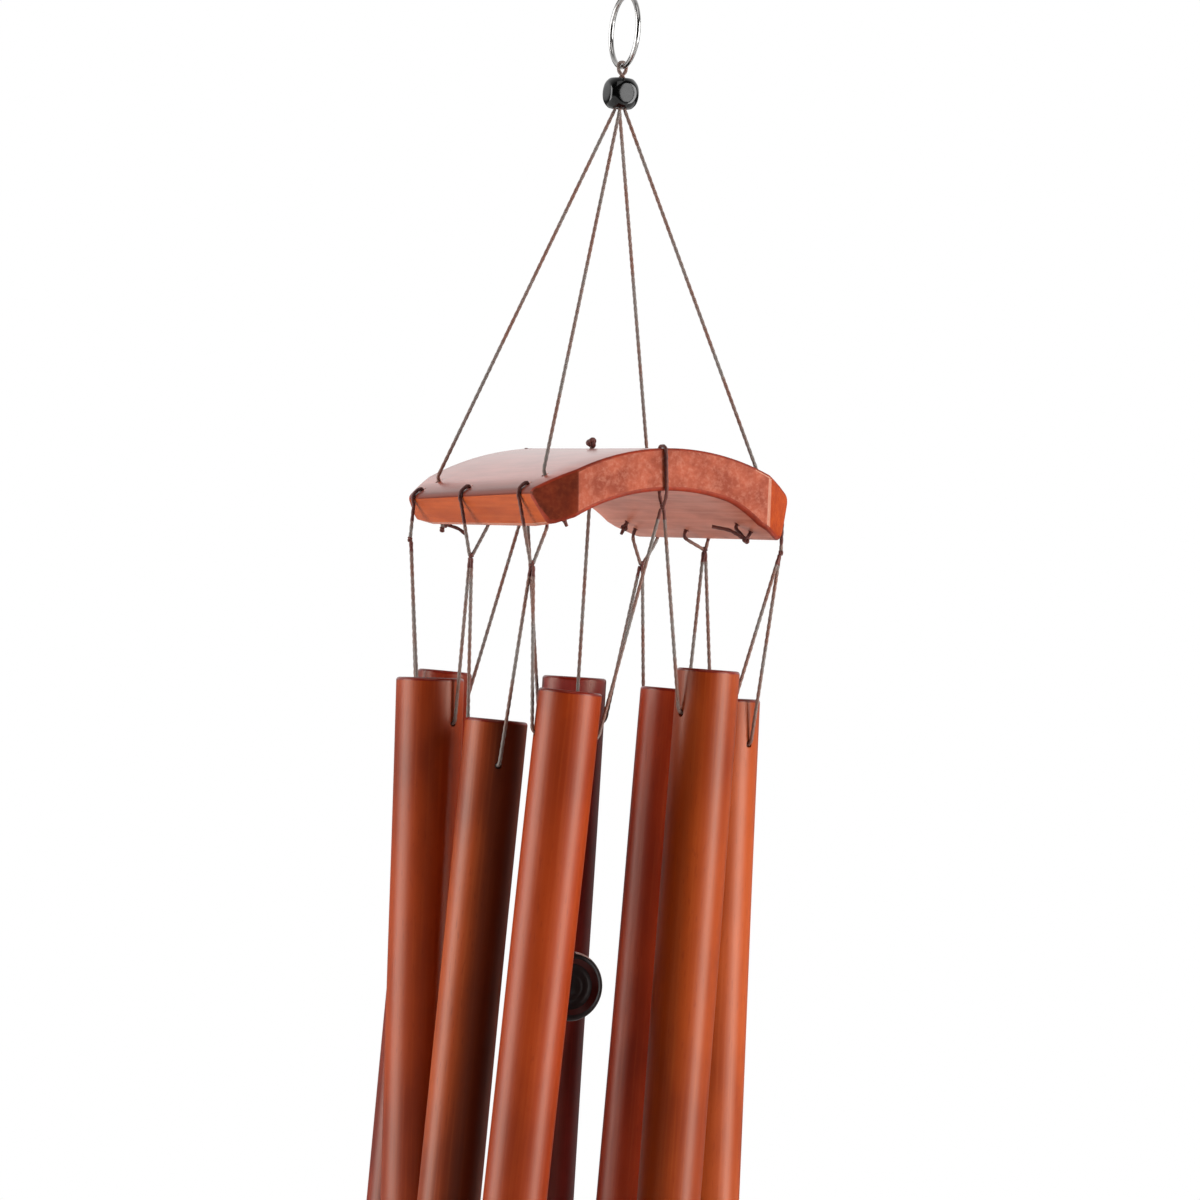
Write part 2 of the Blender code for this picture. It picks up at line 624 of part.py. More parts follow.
def sail_line(above, cord_look, sail_look):
    knot_z = SAIL_TOP_Z + SAIL_KNOT_RISE
    centre = Vector((above.x, above.y, 0))
    start = above - UP * FIT
    end = centre + UP * (knot_z + KNOT_RADIUS + FIT)
    set_origin(add("sail_cord", sweep([start, end], CORD_RADIUS), cord_look), start)
    hole_z = SAIL_TOP_Z - SAIL_HOLE_DROP
    aside = SAIL_THICK / 2 + OFFSET
    line = [
        (0, LOOP_HALF_GAP, knot_z),
        (0, aside, SAIL_TOP_Z + OFFSET),
        (0, aside, hole_z),
        (0, -aside, hole_z),
        (0, -aside, SAIL_TOP_Z + OFFSET),
        (0, -LOOP_HALF_GAP, knot_z),
    ]
    line = [Vector(p) + centre for p in line]
    loop = add("sail_loop", sweep(bent(line, CORD_RADIUS), CORD_RADIUS), cord_look)
    combine(loop, add("knot", ball(centre + UP * knot_z, KNOT_RADIUS)), "UNION")
    set_origin(loop, end)
    middle = SAIL_TOP_Z - SAIL_HEIGHT / 2
    rings = []
    half = SAIL_THICK / 2
    flat = half - SAIL_EDGE
    for y, inset in ((-half, SAIL_EDGE), (-flat, 0.0), (flat, 0.0), (half, SAIL_EDGE)):
        ring = []
        for k in range(OVAL_SEGMENTS):
            a = 2 * math.pi * (k + 0.5) / OVAL_SEGMENTS
            x = math.copysign(abs(math.cos(a)) ** (2 / SAIL_POWER), math.cos(a))
            z = math.copysign(abs(math.sin(a)) ** (2 / SAIL_POWER), math.sin(a))
            wide = SAIL_WIDTH / 2 - inset
            tall = SAIL_HEIGHT / 2 - inset
            ring.append(centre + Vector((wide * x, y, middle + tall * z)))
        rings.append(ring)
    points = [p for ring in rings for p in ring]
    last = 3 * OVAL_SEGMENTS
    faces = [tuple(range(OVAL_SEGMENTS)), tuple(range(last, last + OVAL_SEGMENTS))]
    for row in range(3):
        for k in range(OVAL_SEGMENTS):
            n = (k + 1) % OVAL_SEGMENTS
            first = row * OVAL_SEGMENTS
            nxt = first + OVAL_SEGMENTS
            faces.append((first + k, first + n, nxt + n, nxt + k))
    sail = add("sail", (points, faces), sail_look)
    through = [centre + Vector((0, y, hole_z)) for y in (-SAIL_THICK, SAIL_THICK)]
    combine(sail, add("hole", sweep(through, BORE_RADIUS, HOLE_SIDES)), "DIFFERENCE")
    set_origin(sail, end)


for old in list(bpy.data.objects):
    bpy.data.objects.remove(old)

bamboo = material("stained bamboo", (0.30, 0.07, 0.02), 0.4)
plate_bamboo = material("stained thick bamboo", (0.34, 0.10, 0.04), 0.45)
cord_brown = material("brown waxed cord", (0.16, 0.09, 0.06), 0.8)
steel = material("bright steel", (0.62, 0.62, 0.64), 0.2, 1.0)
black_wood = material("black lacquered wood", (0.01, 0.01, 0.01), 0.25)

hanging_ring(steel)
ring_tie(cord_brown)
gather_bead(black_wood)
top_plate(plate_bamboo)
for order, hanger in enumerate(HANGERS, 1):
    hanger_cord(order, *hanger, cord_brown)
loops = [loop_route(*loop) for loop in LOOPS]
for order, (route, knot_at) in enumerate(loops, 1):
    edge_loop(order, route, knot_at, cord_brown)
for order, tube_size in enumerate(TUBES, 1):
    first_knot = loops[order - 1][1]
    second_knot = loops[order % len(loops)][1]
    tube_and_bridle(order, tube_size, first_knot, second_knot, bamboo, cord_brown)
below_striker = striker_line(cord_brown, black_wood)
sail_line(below_striker, cord_brown, bamboo)
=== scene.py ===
# %% [markdown]
# # A bamboo wind chime
# A steel ring carries a black bead, four cords carry an arched plate of thick bamboo, and
# eight stained bamboo tubes hang from knotted cords round the plate's edge. A dark drum on the
# middle cord strikes the tubes when wind moves the sail below it.
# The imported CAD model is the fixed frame: every piece made here sits where its solid sits and
# rides on that solid's body, so the joints move the pretty pieces too.

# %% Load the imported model
import math

import bmesh
import bpy
import numpy as np
from mathutils import Matrix, Vector


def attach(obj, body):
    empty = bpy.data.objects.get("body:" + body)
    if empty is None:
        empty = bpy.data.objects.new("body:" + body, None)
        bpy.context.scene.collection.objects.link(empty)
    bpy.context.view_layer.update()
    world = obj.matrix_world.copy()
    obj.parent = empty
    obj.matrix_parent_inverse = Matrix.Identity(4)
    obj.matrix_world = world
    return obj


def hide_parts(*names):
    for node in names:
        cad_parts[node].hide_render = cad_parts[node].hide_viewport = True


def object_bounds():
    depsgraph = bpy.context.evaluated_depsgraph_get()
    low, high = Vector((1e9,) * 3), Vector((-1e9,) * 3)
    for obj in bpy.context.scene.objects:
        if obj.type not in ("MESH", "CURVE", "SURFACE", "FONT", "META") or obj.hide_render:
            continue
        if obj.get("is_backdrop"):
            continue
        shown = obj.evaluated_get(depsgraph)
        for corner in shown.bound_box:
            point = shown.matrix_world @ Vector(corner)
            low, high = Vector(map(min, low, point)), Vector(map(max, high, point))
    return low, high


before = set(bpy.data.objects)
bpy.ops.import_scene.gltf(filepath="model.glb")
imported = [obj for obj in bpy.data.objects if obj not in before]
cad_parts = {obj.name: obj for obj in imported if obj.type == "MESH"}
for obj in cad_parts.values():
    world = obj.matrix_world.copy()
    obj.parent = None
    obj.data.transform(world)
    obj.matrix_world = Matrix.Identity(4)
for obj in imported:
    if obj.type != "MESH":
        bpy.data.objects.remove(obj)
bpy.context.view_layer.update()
scene = bpy.context.scene
MM = 0.001
UP = Vector((0, 0, 1))

# %% [markdown]
# ## The camera
# The picture is taken level, from a little left of the plate's end, with a long lens, and it is
# tilted a few degrees. Aiming a camera by hand would take many tries. Here the viewing angle,
# the roll and the lens are numbers, and the camera's axes are built from them.

# %% Camera
VIEW_AZIMUTH = math.radians(-28.8)
VIEW_LIFT = math.radians(-0.39)
VIEW_ROLL = math.radians(3.64)
VIEW_DISTANCE = 2.6
VIEW_CENTRE = Vector((0, 0, -0.240))
VIEW_ASIDE = Vector((4.76, 3.95)) * MM  # the picture's middle lies this far right and above
SENSOR_WIDTH = 36.0
LENS = 199.5

right = Vector((math.cos(VIEW_AZIMUTH), math.sin(VIEW_AZIMUTH), 0))
away = Vector((-math.sin(VIEW_AZIMUTH), math.cos(VIEW_AZIMUTH), 0)) * math.cos(VIEW_LIFT)
away -= UP * math.sin(VIEW_LIFT)
upward = right.cross(away)
cam_right = right * math.cos(VIEW_ROLL) + upward * math.sin(VIEW_ROLL)
cam_up = upward * math.cos(VIEW_ROLL) - right * math.sin(VIEW_ROLL)
place = VIEW_CENTRE - away * VIEW_DISTANCE + cam_right * VIEW_ASIDE.x + cam_up * VIEW_ASIDE.y

camera = bpy.data.objects.new("camera", bpy.data.cameras.new("camera"))
camera.data.sensor_width = SENSOR_WIDTH
camera.data.lens = LENS
turn = Matrix((cam_right, cam_up, -away)).transposed()
camera.matrix_world = Matrix.Translation(place) @ turn.to_4x4()
scene.collection.objects.link(camera)
scene.camera = camera
print("camera at", [round(v, 3) for v in place])

# %% [markdown]
# ## Small tools
# Meshes come from lists of points and faces. One helper turns such lists into an object, another
# cuts one solid from another with an exact Boolean, and a third makes curved faces shade
# smoothly while real edges stay crisp. Round pieces are turned about an axis, as on a lathe.

# %% Mesh helpers
def solid(name, points, faces):
    """A mesh object in the scene, with its faces turned outwards."""
    mesh = bpy.data.meshes.new(name)
    mesh.from_pydata([tuple(p) for p in points], [], faces)
    work = bmesh.new()
    work.from_mesh(mesh)
    bmesh.ops.recalc_face_normals(work, faces=work.faces)
    work.to_mesh(mesh)
    work.free()
    made = bpy.data.objects.new(name, mesh)
    scene.collection.objects.link(made)
    return made


def stand_in(made, looks, body, stands_for):
    """Give a piece its finishes and the body it rides on, and hide the CAD node it stands for."""
    for look in looks:
        made.data.materials.append(look)
    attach(made, body)
    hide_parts(stands_for)


def shape(name, points, faces, looks, body, stands_for, slot, matrix=None):
    """A piece from points and faces, with its finishes and body; its CAD node is hidden."""
    made = solid(name, points, faces)
    if matrix:
        made.matrix_world = matrix
    stand_in(made, looks, body, stands_for)
    return made


def apply_changes(thing):
    """Make what the modifiers give the mesh itself."""
    bpy.context.view_layer.update()
    shown = thing.evaluated_get(bpy.context.evaluated_depsgraph_get())
    thing.data = bpy.data.meshes.new_from_object(shown)
    thing.modifiers.clear()


def cut(target, points, faces):
    """Cut a closed shape, given in the target's own frame, out of the target."""
    cutter = solid("cutter", points, faces)
    cutter.matrix_world = target.matrix_world
    change = target.modifiers.new("cut", "BOOLEAN")
    change.operation = "DIFFERENCE"
    change.solver = "EXACT"
    change.object = cutter
    apply_changes(target)
    bpy.data.objects.remove(cutter)


def smooth(thing, edge=35.0):
    thing.data.shade_smooth()
    thing.data.set_sharp_from_angle(angle=math.radians(edge))


# %% Turned shapes
def circle(count):
    """Angles of even steps once round."""
    return [2 * math.pi * k / count for k in range(count)]


def quarter(steps):
    """Angles of even steps through a quarter turn, both ends among them."""
    return [math.pi / 2 * k / steps for k in range(steps + 1)]


def grid(rows, columns, ring=False, closed=False):
    """Faces between rows of points; ring joins the last row to the first, closed each row's ends."""
    faces = []
    for row in range(rows if ring else rows - 1):
        near = row * columns
        far = (row + 1) % rows * columns
        for i in range(columns if closed else columns - 1):
            j = (i + 1) % columns
            faces.append((near + i, far + i, far + j, near + j))
    return faces


def lathe(profile, segments, closed=False):
    """Radius and height pairs turned about Z; an open profile starts and ends on the axis."""
    body = profile if closed else profile[1:-1]
    count = len(body)
    points = []
    for a in circle(segments):
        points += [Vector((r * math.cos(a), r * math.sin(a), z)) for r, z in body]
    faces = grid(segments, count, True, closed)
    if not closed:
        first = len(points)
        points += [Vector((0, 0, profile[0][1])), Vector((0, 0, profile[-1][1]))]
        for k in range(segments):
            n = (k + 1) % segments
            faces.append((first, n * count, k * count))
            faces.append((first + 1, k * count + count - 1, n * count + count - 1))
    return points, faces


def drill(reach, radius, segments, mouth=None, throat=None):
    """A drill that reaches as far up as down; with a mouth it widens outside its throat."""
    half = [(0, -reach), (radius, -reach)]
    if mouth:
        half = [(0, -reach), (mouth, -reach), (radius, -throat)]
    return lathe(half + [(r, -z) for r, z in reversed(half)], segments)


# %% [markdown]
# ## Colours and nodes
# Colours are written as sRGB hex, as a paint chart gives them, and one function turns them into
# the linear values that the shader wants. One more function adds a node, its settings and its
# links. Every finish of the chime is built in the same steps: a pattern of a real size, one
# colour laid over another where the pattern is strong, and a fine relief or an uneven gloss.
# Each step is a function as well, so that a material reads as a short list.

# %% Material helpers
MIX_A, MIX_B, MIX_OUT = 6, 7, 2  # the colour sockets of a Mix node


def linear(code):
    parts = [int(code[i : i + 2], 16) / 255 for i in (1, 3, 5)]
    return (*[c / 12.92 if c <= 0.04045 else ((c + 0.055) / 1.055) ** 2.4 for c in parts], 1.0)


def node(tree, kind, inputs=None, **settings):
    """A node; an input is a colour's hex code, a plain value, a socket or a node's first output."""
    made = tree.nodes.new(kind)
    for key, value in settings.items():
        setattr(made, key, value)
    for key, value in (inputs or {}).items():
        if isinstance(value, bpy.types.Node):
            value = value.outputs[0]
        if isinstance(value, bpy.types.NodeSocket):
            tree.links.new(value, made.inputs[key])
        else:
            made.inputs[key].default_value = linear(value) if isinstance(value, str) else value
    return made


def new_material(name, rough, **sockets):
    """A material, its node tree and its Principled shader, with constant sockets set."""
    made = bpy.data.materials.new(name)
    made.use_nodes = True
    tree = made.node_tree
    shader = tree.nodes["Principled BSDF"]
    shader.inputs["Roughness"].default_value = rough
    for key, value in sockets.items():
        shader.inputs[key.replace("_", " ")].default_value = value
    return made, tree, shader


def pattern(tree, sizes, detail=0.0, kind="Noise", **more):
    """A noise or cell pattern whose patches have real sizes along the piece's X, Y and Z."""
    spot = node(tree, "ShaderNodeTexCoord").outputs["Object"]
    scaled = node(tree, "ShaderNodeMapping", {"Vector": spot, "Scale": [1 / size for size in sizes]})
    return node(tree, f"ShaderNodeTex{kind}", {"Vector": scaled, "Scale": 1.0, "Detail": detail, **more})


def laid_over(tree, under, colour, where, start, full, share=1.0):
    """A colour over another: none of it where the value is at start, its share where it is full."""
    reach = {"Value": where, "From Min": start, "From Max": full, "To Max": share}
    amount = node(tree, "ShaderNodeMapRange", reach)
    mixed = {0: amount, MIX_A: under, MIX_B: colour}
    return node(tree, "ShaderNodeMix", mixed, data_type="RGBA").outputs[MIX_OUT]


def dress(tree, shader, colour, relief=None, gloss=None):
    """Link a colour, a relief (pattern, strength, depth) and a gloss (pattern, low, high)."""
    tree.links.new(colour, shader.inputs["Base Color"])
    if relief:
        bump = node(tree, "ShaderNodeBump", dict(zip(("Height", "Strength", "Distance"), relief)))
        tree.links.new(bump.outputs[0], shader.inputs["Normal"])
    if gloss:
        rough = node(tree, "ShaderNodeMapRange", dict(zip(("Value", "To Min", "To Max"), gloss)))
        tree.links.new(rough.outputs[0], shader.inputs["Roughness"])


# %% [markdown]
# ## Stained bamboo skin
# The tubes are thin canes whose hard green skin was sanded, dyed red-brown and sealed with a
# satin varnish. Dye takes unevenly, so there are soft blotches, fine fibres run the length of
# the cane, and short dark flecks mark the pores. The varnish gives the long soft highlights.
# Each cane drinks its own amount of dye, so each gets its own three tones, and one cane has
# painted shade down one side.

# %% Bamboo skin
FIBRE_WIDTH = 0.9 * MM  # drawn three times as wide as real fibres, which are too fine to show
FIBRE_LENGTH = 60 * MM
BLOTCH = 22 * MM
BLOTCH_LENGTH = 55 * MM
FLECK_WIDTH = 0.8 * MM
FLECK_LENGTH = 5 * MM
CUT_BUNDLE = 0.9 * MM
SHADE_FADE = 5 * MM  # half the width over which the painted shade on one side of a cane fades in
# colour of the painted shade on one side of a cane
SHADE_TONE = "#280A03"
WARM_SHEEN = linear("#FFE7D4")  # light that enters the dyed varnish comes back warm


def bamboo_skin(name, tone, deep, pale, rough=0.38, shade_side=None):
    """Dyed, satin skin: blotches, pale fibres and dark flecks in three tones. shade_side is the
    direction across the cane towards its side painted in shade."""
    made, tree, shader = new_material(name, rough, IOR=1.45, Specular_Tint=WARM_SHEEN)
    fibre = pattern(tree, (FIBRE_WIDTH, FIBRE_WIDTH, FIBRE_LENGTH), 3.0)
    blotch = pattern(tree, (BLOTCH, BLOTCH, BLOTCH_LENGTH), 2.0)
    fleck = pattern(tree, (FLECK_WIDTH, FLECK_WIDTH, FLECK_LENGTH), 1.0)
    colour = laid_over(tree, deep, tone, blotch, 0.35, 0.68)
    colour = laid_over(tree, colour, pale, fibre, 0.5, 0.8, 0.3)
    colour = laid_over(tree, colour, deep, fleck, 0.62, 0.74, 0.5)
    # painted shade: the cane darkens across towards shade_side
    if shade_side:
        spot = node(tree, "ShaderNodeTexCoord").outputs["Object"]
        across = node(tree, "ShaderNodeVectorMath", {0: spot, 1: shade_side}, operation="DOT_PRODUCT")
        aside = across.outputs["Value"]
        colour = laid_over(tree, colour, SHADE_TONE, aside, -SHADE_FADE, SHADE_FADE, 0.75)
    dress(tree, shader, colour, (fibre, 0.10, 0.2 * MM), (fibre, rough - 0.06, rough + 0.08))
    return made


def raw_cut(name, tone, dot, rough=0.6):
    """Bamboo cut across: pale fibre bundles as dots in a darker ground."""
    made, tree, shader = new_material(name, rough, IOR=1.5)
    bundles = pattern(tree, [CUT_BUNDLE] * 3, kind="Voronoi")
    dress(tree, shader, laid_over(tree, dot, tone, bundles, 0.25, 0.5))
    return made


TUBE_DYES = (
    ("#96360A", "#742202", "#AA4C1C"),
    ("#9A3E12", "#722608", "#AE5428"),
    ("#96340A", "#7E2603", "#AA4C1C"),
    ("#963A0A", "#7C2803", "#AC5220"),
    ("#A64618", "#86300A", "#B85C30"),
    ("#9C3210", "#781E06", "#B04C26"),
    ("#8A302A", "#5E1C18", "#9A4038"),
    ("#8A2C14", "#5E1608", "#A04628"),
)
SHADED_SIDES = {2: (0.48, -0.88, 0)}  # this cane has painted shade on one side
tube_skins = []
for number, dye in enumerate(TUBE_DYES, 1):
    side = SHADED_SIDES.get(number)
    tube_skins.append(bamboo_skin(f"stained bamboo {number}", *dye, shade_side=side))
tube_end = raw_cut("stained bamboo cut end", "#3E1008", "#6E2A18")
tube_rim = bamboo_skin("rim of a cane with pooled dye", "#7A1608", "#5A0C04", "#8A2410", 0.3)
tube_inside = raw_cut("dipped bamboo bore", "#4A1C10", "#5C2818", 0.75)
print("tube finishes", len(tube_skins))

# %% [markdown]
# ## Eight bamboo tubes
# A lathe would give a perfect pipe. A cane is never quite round and swells a little along its
# length, so the radius here varies by a fraction of a millimetre. The ends are sawn square, and
# the rim is rubbed round outside and just broken inside. The cross hole is drilled through both
# walls, and its mouths are a little wider.

# %% Tube sizes, from the CAD model
PLATE_LOW = -207.65 * MM
CORD = 1.5 * MM
HOLE_RADIUS = 1.2 * MM
TUBE_HOLE_DROP = 17.5 * MM
TUBE_WALL = 3.2 * MM
EDGE_BREAK = 0.5 * MM
TUBE_RIM = 1.2 * MM  # the sawn ends are rubbed round outside, where dye and varnish pooled
OUT_OF_ROUND = 0.12 * MM
MOUTH_WIDER = 0.7 * MM  # the drill's mouth in a tube's wall
MOUTH_DEPTH = 0.9 * MM
DRILL_CLEAR = 0.4 * MM
BORE_BAND = 0.6 * MM  # faces this close to the bore belong to it
RIM_STEPS = 6
TUBE_SIDES = 72
TUBE_STEP = 12 * MM

# across, length, top below the plate, shift and lean along its knots' line, lean outwards
TUBES = (
    (26.5, 271.0, 62.4, 5.6, 0.9, -1.7),
    (24.3, 281.0, 76.7, -3.8, -0.8, 1.9),
    (24.5, 312.0, 63.7, -7.7, -2.6, -0.3),
    (25.0, 292.0, 52.4, -3.2, -0.7, -0.2),
    (25.0, 325.0, 63.3, -0.7, -0.8, 0.9),
    (25.9, 302.0, 61.0, -1.2, 0.6, -1.2),
    (25.7, 262.0, 59.0, 0.0, 0.0, 0.0),
    (22.1, 320.0, 59.7, 8.7, 2.1, 0.4),
)
print("tube lengths, mm", [row[1] for row in TUBES])

# %% [markdown]
# ## Where the tubes hang
# A tube hangs between two knots, and a knot hangs from the plate's edge, so the plate's sizes
# come before the tubes. The plate hangs a little askew: its places are worked out on a level
# plate, and one function moves them to the plate as it hangs.

# %% Plate sizes, from the CAD model
CROWN = Vector((0, 0, -176.5 * MM))
PLATE_RADIUS = 102.6 * MM
PLATE_THICK = 16.4 * MM
PLATE_HALF_WIDTH = 57.4 * MM
PLATE_HALF_LENGTH = 61.5 * MM
INNER_RADIUS = PLATE_RADIUS - PLATE_THICK
HALF_ANGLE = math.asin(PLATE_HALF_WIDTH / PLATE_RADIUS)
LONG_EDGES = {"left": -1, "right": 1}
SHORT_EDGES = {"front": -1, "back": 1}
LOOP_INSET = 5.0 * MM
LOOP_ANGLE = HALF_ANGLE - LOOP_INSET / PLATE_RADIUS
LOOP_REACH = PLATE_HALF_LENGTH - 15.5 * MM
HANGER_ANGLE = HALF_ANGLE - 12.1 * MM / PLATE_RADIUS
HANGER_REACH = PLATE_HALF_LENGTH - 17.5 * MM
STRIKER_SHIFT = -3.0 * MM
EDGE_ROUND = 3.5 * MM  # the upper long edges are rubbed round
EDGE_ANGLE = HALF_ANGLE - 8.0 * MM / PLATE_RADIUS
LIP = 5.5 * MM  # the wall grows thicker towards the right edge
LIP_ANGLE = HALF_ANGLE - 31.5 * MM / PLATE_RADIUS
FOOT_ANGLE = HALF_ANGLE - 12.0 * MM / PLATE_RADIUS
WEAR = 3.4 * MM  # the wall is this much thinner at the back left corner
WEAR_LEFT = (2 * MM, 45 * MM)  # it starts this far right of the middle, and its reach
WEAR_BACK = (-45 * MM, 100 * MM)  # it starts this far in front of the middle, and its reach
# lower long edges, left and right: in from the side, below an even wall's edge, rounding
FEET = {-1: (7.0 * MM, 0.8 * MM, 2.6 * MM), 1: (5.2 * MM, 4.7 * MM, 5.0 * MM)}
TILT = Matrix.Rotation(math.radians(-0.2), 3, "X") @ Matrix.Rotation(math.radians(-2.4), 3, "Y")
FIT = 0.35 * MM  # gap that the CAD model leaves between pieces that touch
CORD_RADIUS = CORD / 2
CORD_LIFT = CORD_RADIUS + 0.1 * MM  # a cord's middle above what it lies on
KNOT_RADIUS = 2.3 * MM
SUNK = 0.4 * MM  # the back loop has worn into the edge
LOOP_GAP = 0.55 * MM  # a loop's two ends lie this far from the knot's middle
HOLE_BACK = {("left", 0): 6.0 * MM, ("left", -1): 4.0 * MM}  # holes further back than their knots
STOP_DROP = {-1: 3.2 * MM, 1: 0.4 * MM}  # a corner cord's stop knot below the hole's mouth
ROUND_STEPS = 8


def arch(angle, radius, y=0.0):
    """A point of the level plate's section at an angle from the crown."""
    return Vector((radius * math.sin(angle), y, CROWN.z - PLATE_RADIUS + radius * math.cos(angle)))


def held(value):
    return min(max(value, 0.0), 1.0)


def worn(point):
    """How much lower the skin lies towards the back left corner, where the wall is thinner."""
    left = held((WEAR_LEFT[0] - point.x) / WEAR_LEFT[1]) ** 0.8
    back = held((point.y - WEAR_BACK[0]) / WEAR_BACK[1])
    far = math.hypot(point.x, point.z - CROWN.z + PLATE_RADIUS)
    return WEAR * left * back * held((far - INNER_RADIUS) / PLATE_THICK)


def hung(point):
    """A point of the level plate, on the plate as it hangs."""
    point = Vector(point)
    return TILT @ (point - UP * worn(point) - CROWN) + CROWN


def under_radius(angle):
    """Radius of the plate's hollow, less where the wall thickens towards the right edge."""
    share = (angle - LIP_ANGLE) / (HALF_ANGLE - LIP_ANGLE)
    return INNER_RADIUS - LIP * max(0.0, share) ** 1.3


def foot(sx):
    """Where a side and the underside would meet in a sharp edge."""
    inset, drop, _ = FEET[sx]
    return Vector((sx * (PLATE_HALF_WIDTH - inset), 0, PLATE_LOW - drop))


print("plate's half width and half length, mm", PLATE_HALF_WIDTH / MM, PLATE_HALF_LENGTH / MM)

# %% Routes of the edge loops
# which edge, towards which end, shift from there, knot below the plate, knot in from the edge
LOOPS = (
    ("left", 1, 0.0, 6.2, -0.6),
    ("left", 0, 0.0, 12.0, 2.4),
    ("left", -1, 0.0, 14.3, 4.6),
    ("front", 0, -4.5, 6.0, 2.5),
    ("right", -1, 0.0, 8.0, 0.4),
    ("right", 0, 5.0, 7.5, 5.5),
    ("right", 1, 0.0, 14.0, 11.0),
    ("back", 0, 0.0, 7.0, 2.5),
)


def bent(points, radius, steps=5):
    """A line of points with each corner rounded."""
    points = [Vector(p) for p in points]
    line = [points[0]]
    for before, corner, after in zip(points, points[1:], points[2:]):
        back = before - corner
        on = after - corner
        reach = min(radius, 0.45 * back.length, 0.45 * on.length)
        start = corner + back.normalized() * reach
        end = corner + on.normalized() * reach
        for step in range(steps + 1):
            u = step / steps
            line.append(start * (1 - u) ** 2 + corner * 2 * u * (1 - u) + end * u**2)
    line.append(points[-1])
    return line


def round_edge(sx, y):
    """A cord's line where it lies on the rounded upper long edge, from the side to the top."""
    tip = arch(sx * HALF_ANGLE, PLATE_RADIUS, y)
    down = (foot(sx) + Vector((0, y, 0)) - tip).normalized()
    back = (arch(sx * EDGE_ANGLE, PLATE_RADIUS, y) - tip).normalized()
    top = arch(sx * HALF_ANGLE, CORD_LIFT) - arch(0, 0)
    corner = tip + top + Vector((-down.z, 0, down.x)) * sx * CORD_LIFT
    far = 4 * EDGE_ROUND
    line = [corner + down * far, corner, corner + back * far]
    return bent(line, EDGE_ROUND + CORD_LIFT, ROUND_STEPS)[1:-1]


def loop_hole(edge, end, shift):
    """A loop's hole: its angle from the crown and its place along the plate."""
    if edge in LONG_EDGES:
        y = end * LOOP_REACH + shift * MM
        return LONG_EDGES[edge] * LOOP_ANGLE, y + HOLE_BACK.get((edge, end), 0.0)
    y = SHORT_EDGES[edge] * (PLATE_HALF_LENGTH - LOOP_INSET)
    return math.asin(shift * MM / PLATE_RADIUS), y


def loop_route(edge, end, shift, drop, inset):
    """A loop's line round the plate's edge, and the middles of its knots."""
    angle, hole = loop_hole(edge, end, shift)
    shift, drop, inset = shift * MM, drop * MM, inset * MM
    if edge in LONG_EDGES:
        sx = LONG_EDGES[edge]
        knot = Vector((sx * (PLATE_HALF_WIDTH - inset), end * LOOP_REACH + shift, PLATE_LOW - drop))
        over = arch(angle, PLATE_RADIUS + CORD_LIFT, hole)
        under = arch(angle, under_radius(angle) - CORD, hole)
        aside = Vector((sx * LOOP_GAP, 0, 0))
        middle = [*round_edge(sx, hole), over, under]
        if inset > FEET[sx][0]:
            middle.insert(0, foot(sx) + Vector((sx * CORD_LIFT, hole, 0)))
        if inset < MM:  # this knot hangs clear of the side, so the cord is stopped below its hole
            stop = under - UP * STOP_DROP[sx]
            return [hung(p) for p in (knot, *middle, stop)], hung(knot), hung(stop)
    else:
        sy = SHORT_EDGES[edge]
        out = sy * (PLATE_HALF_LENGTH + CORD_LIFT)
        low = INNER_RADIUS - CORD
        high = PLATE_RADIUS + (CORD_LIFT if sy < 0 else -SUNK)
        knot = arch(angle, INNER_RADIUS - drop, sy * (PLATE_HALF_LENGTH - inset))
        aside = Vector((0, sy * LOOP_GAP, 0))
        middle = [arch(angle, r, y) for r, y in ((low, out), (high, out), (high, hole), (low, hole))]
    line = [knot + aside, *middle, knot - aside]
    return [hung(p) for p in line], hung(knot)


loops = [loop_route(*row) for row in LOOPS]
print("knots", [[round(v * 1000) for v in row[1]] for row in loops])


# %% Tube frames
def knots_of(number):
    """The two knots that carry a tube, and the level direction from one to the other."""
    first = loops[number - 1][1]
    second = loops[number % len(loops)][1]
    return first, second, Vector((second.x - first.x, second.y - first.y, 0)).normalized()


def tube_frame(number):
    """Middle of a tube's cross hole, the tube's middle there, and three directions:
    the hole's, the third and the tube's own."""
    _, length, drop, shift, lean, swing = TUBES[number - 1]
    first, second, along = knots_of(number)
    pin = (first + second) / 2 + along * shift * MM
    pin.z = PLATE_LOW - drop * MM - TUBE_HOLE_DROP
    lean, swing = math.radians(lean), math.radians(swing)
    bore = along * math.cos(lean) + UP * math.sin(lean)
    rise = UP * math.cos(lean) - along * math.sin(lean)
    rise = rise * math.cos(swing) - bore.cross(rise) * math.sin(swing)
    third = bore.cross(rise)
    aside = (TUBE_HOLE_DROP - length * MM / 2) * math.tan(swing)
    return pin, pin + third * aside, bore, third, rise


print("cross holes, mm", [[round(v * 1000) for v in tube_frame(k + 1)[0]] for k in range(len(TUBES))])

# %% Tubes
TUBE_SKIN, CUT_END, BORE_WALL, ROUND_RIM = range(4)


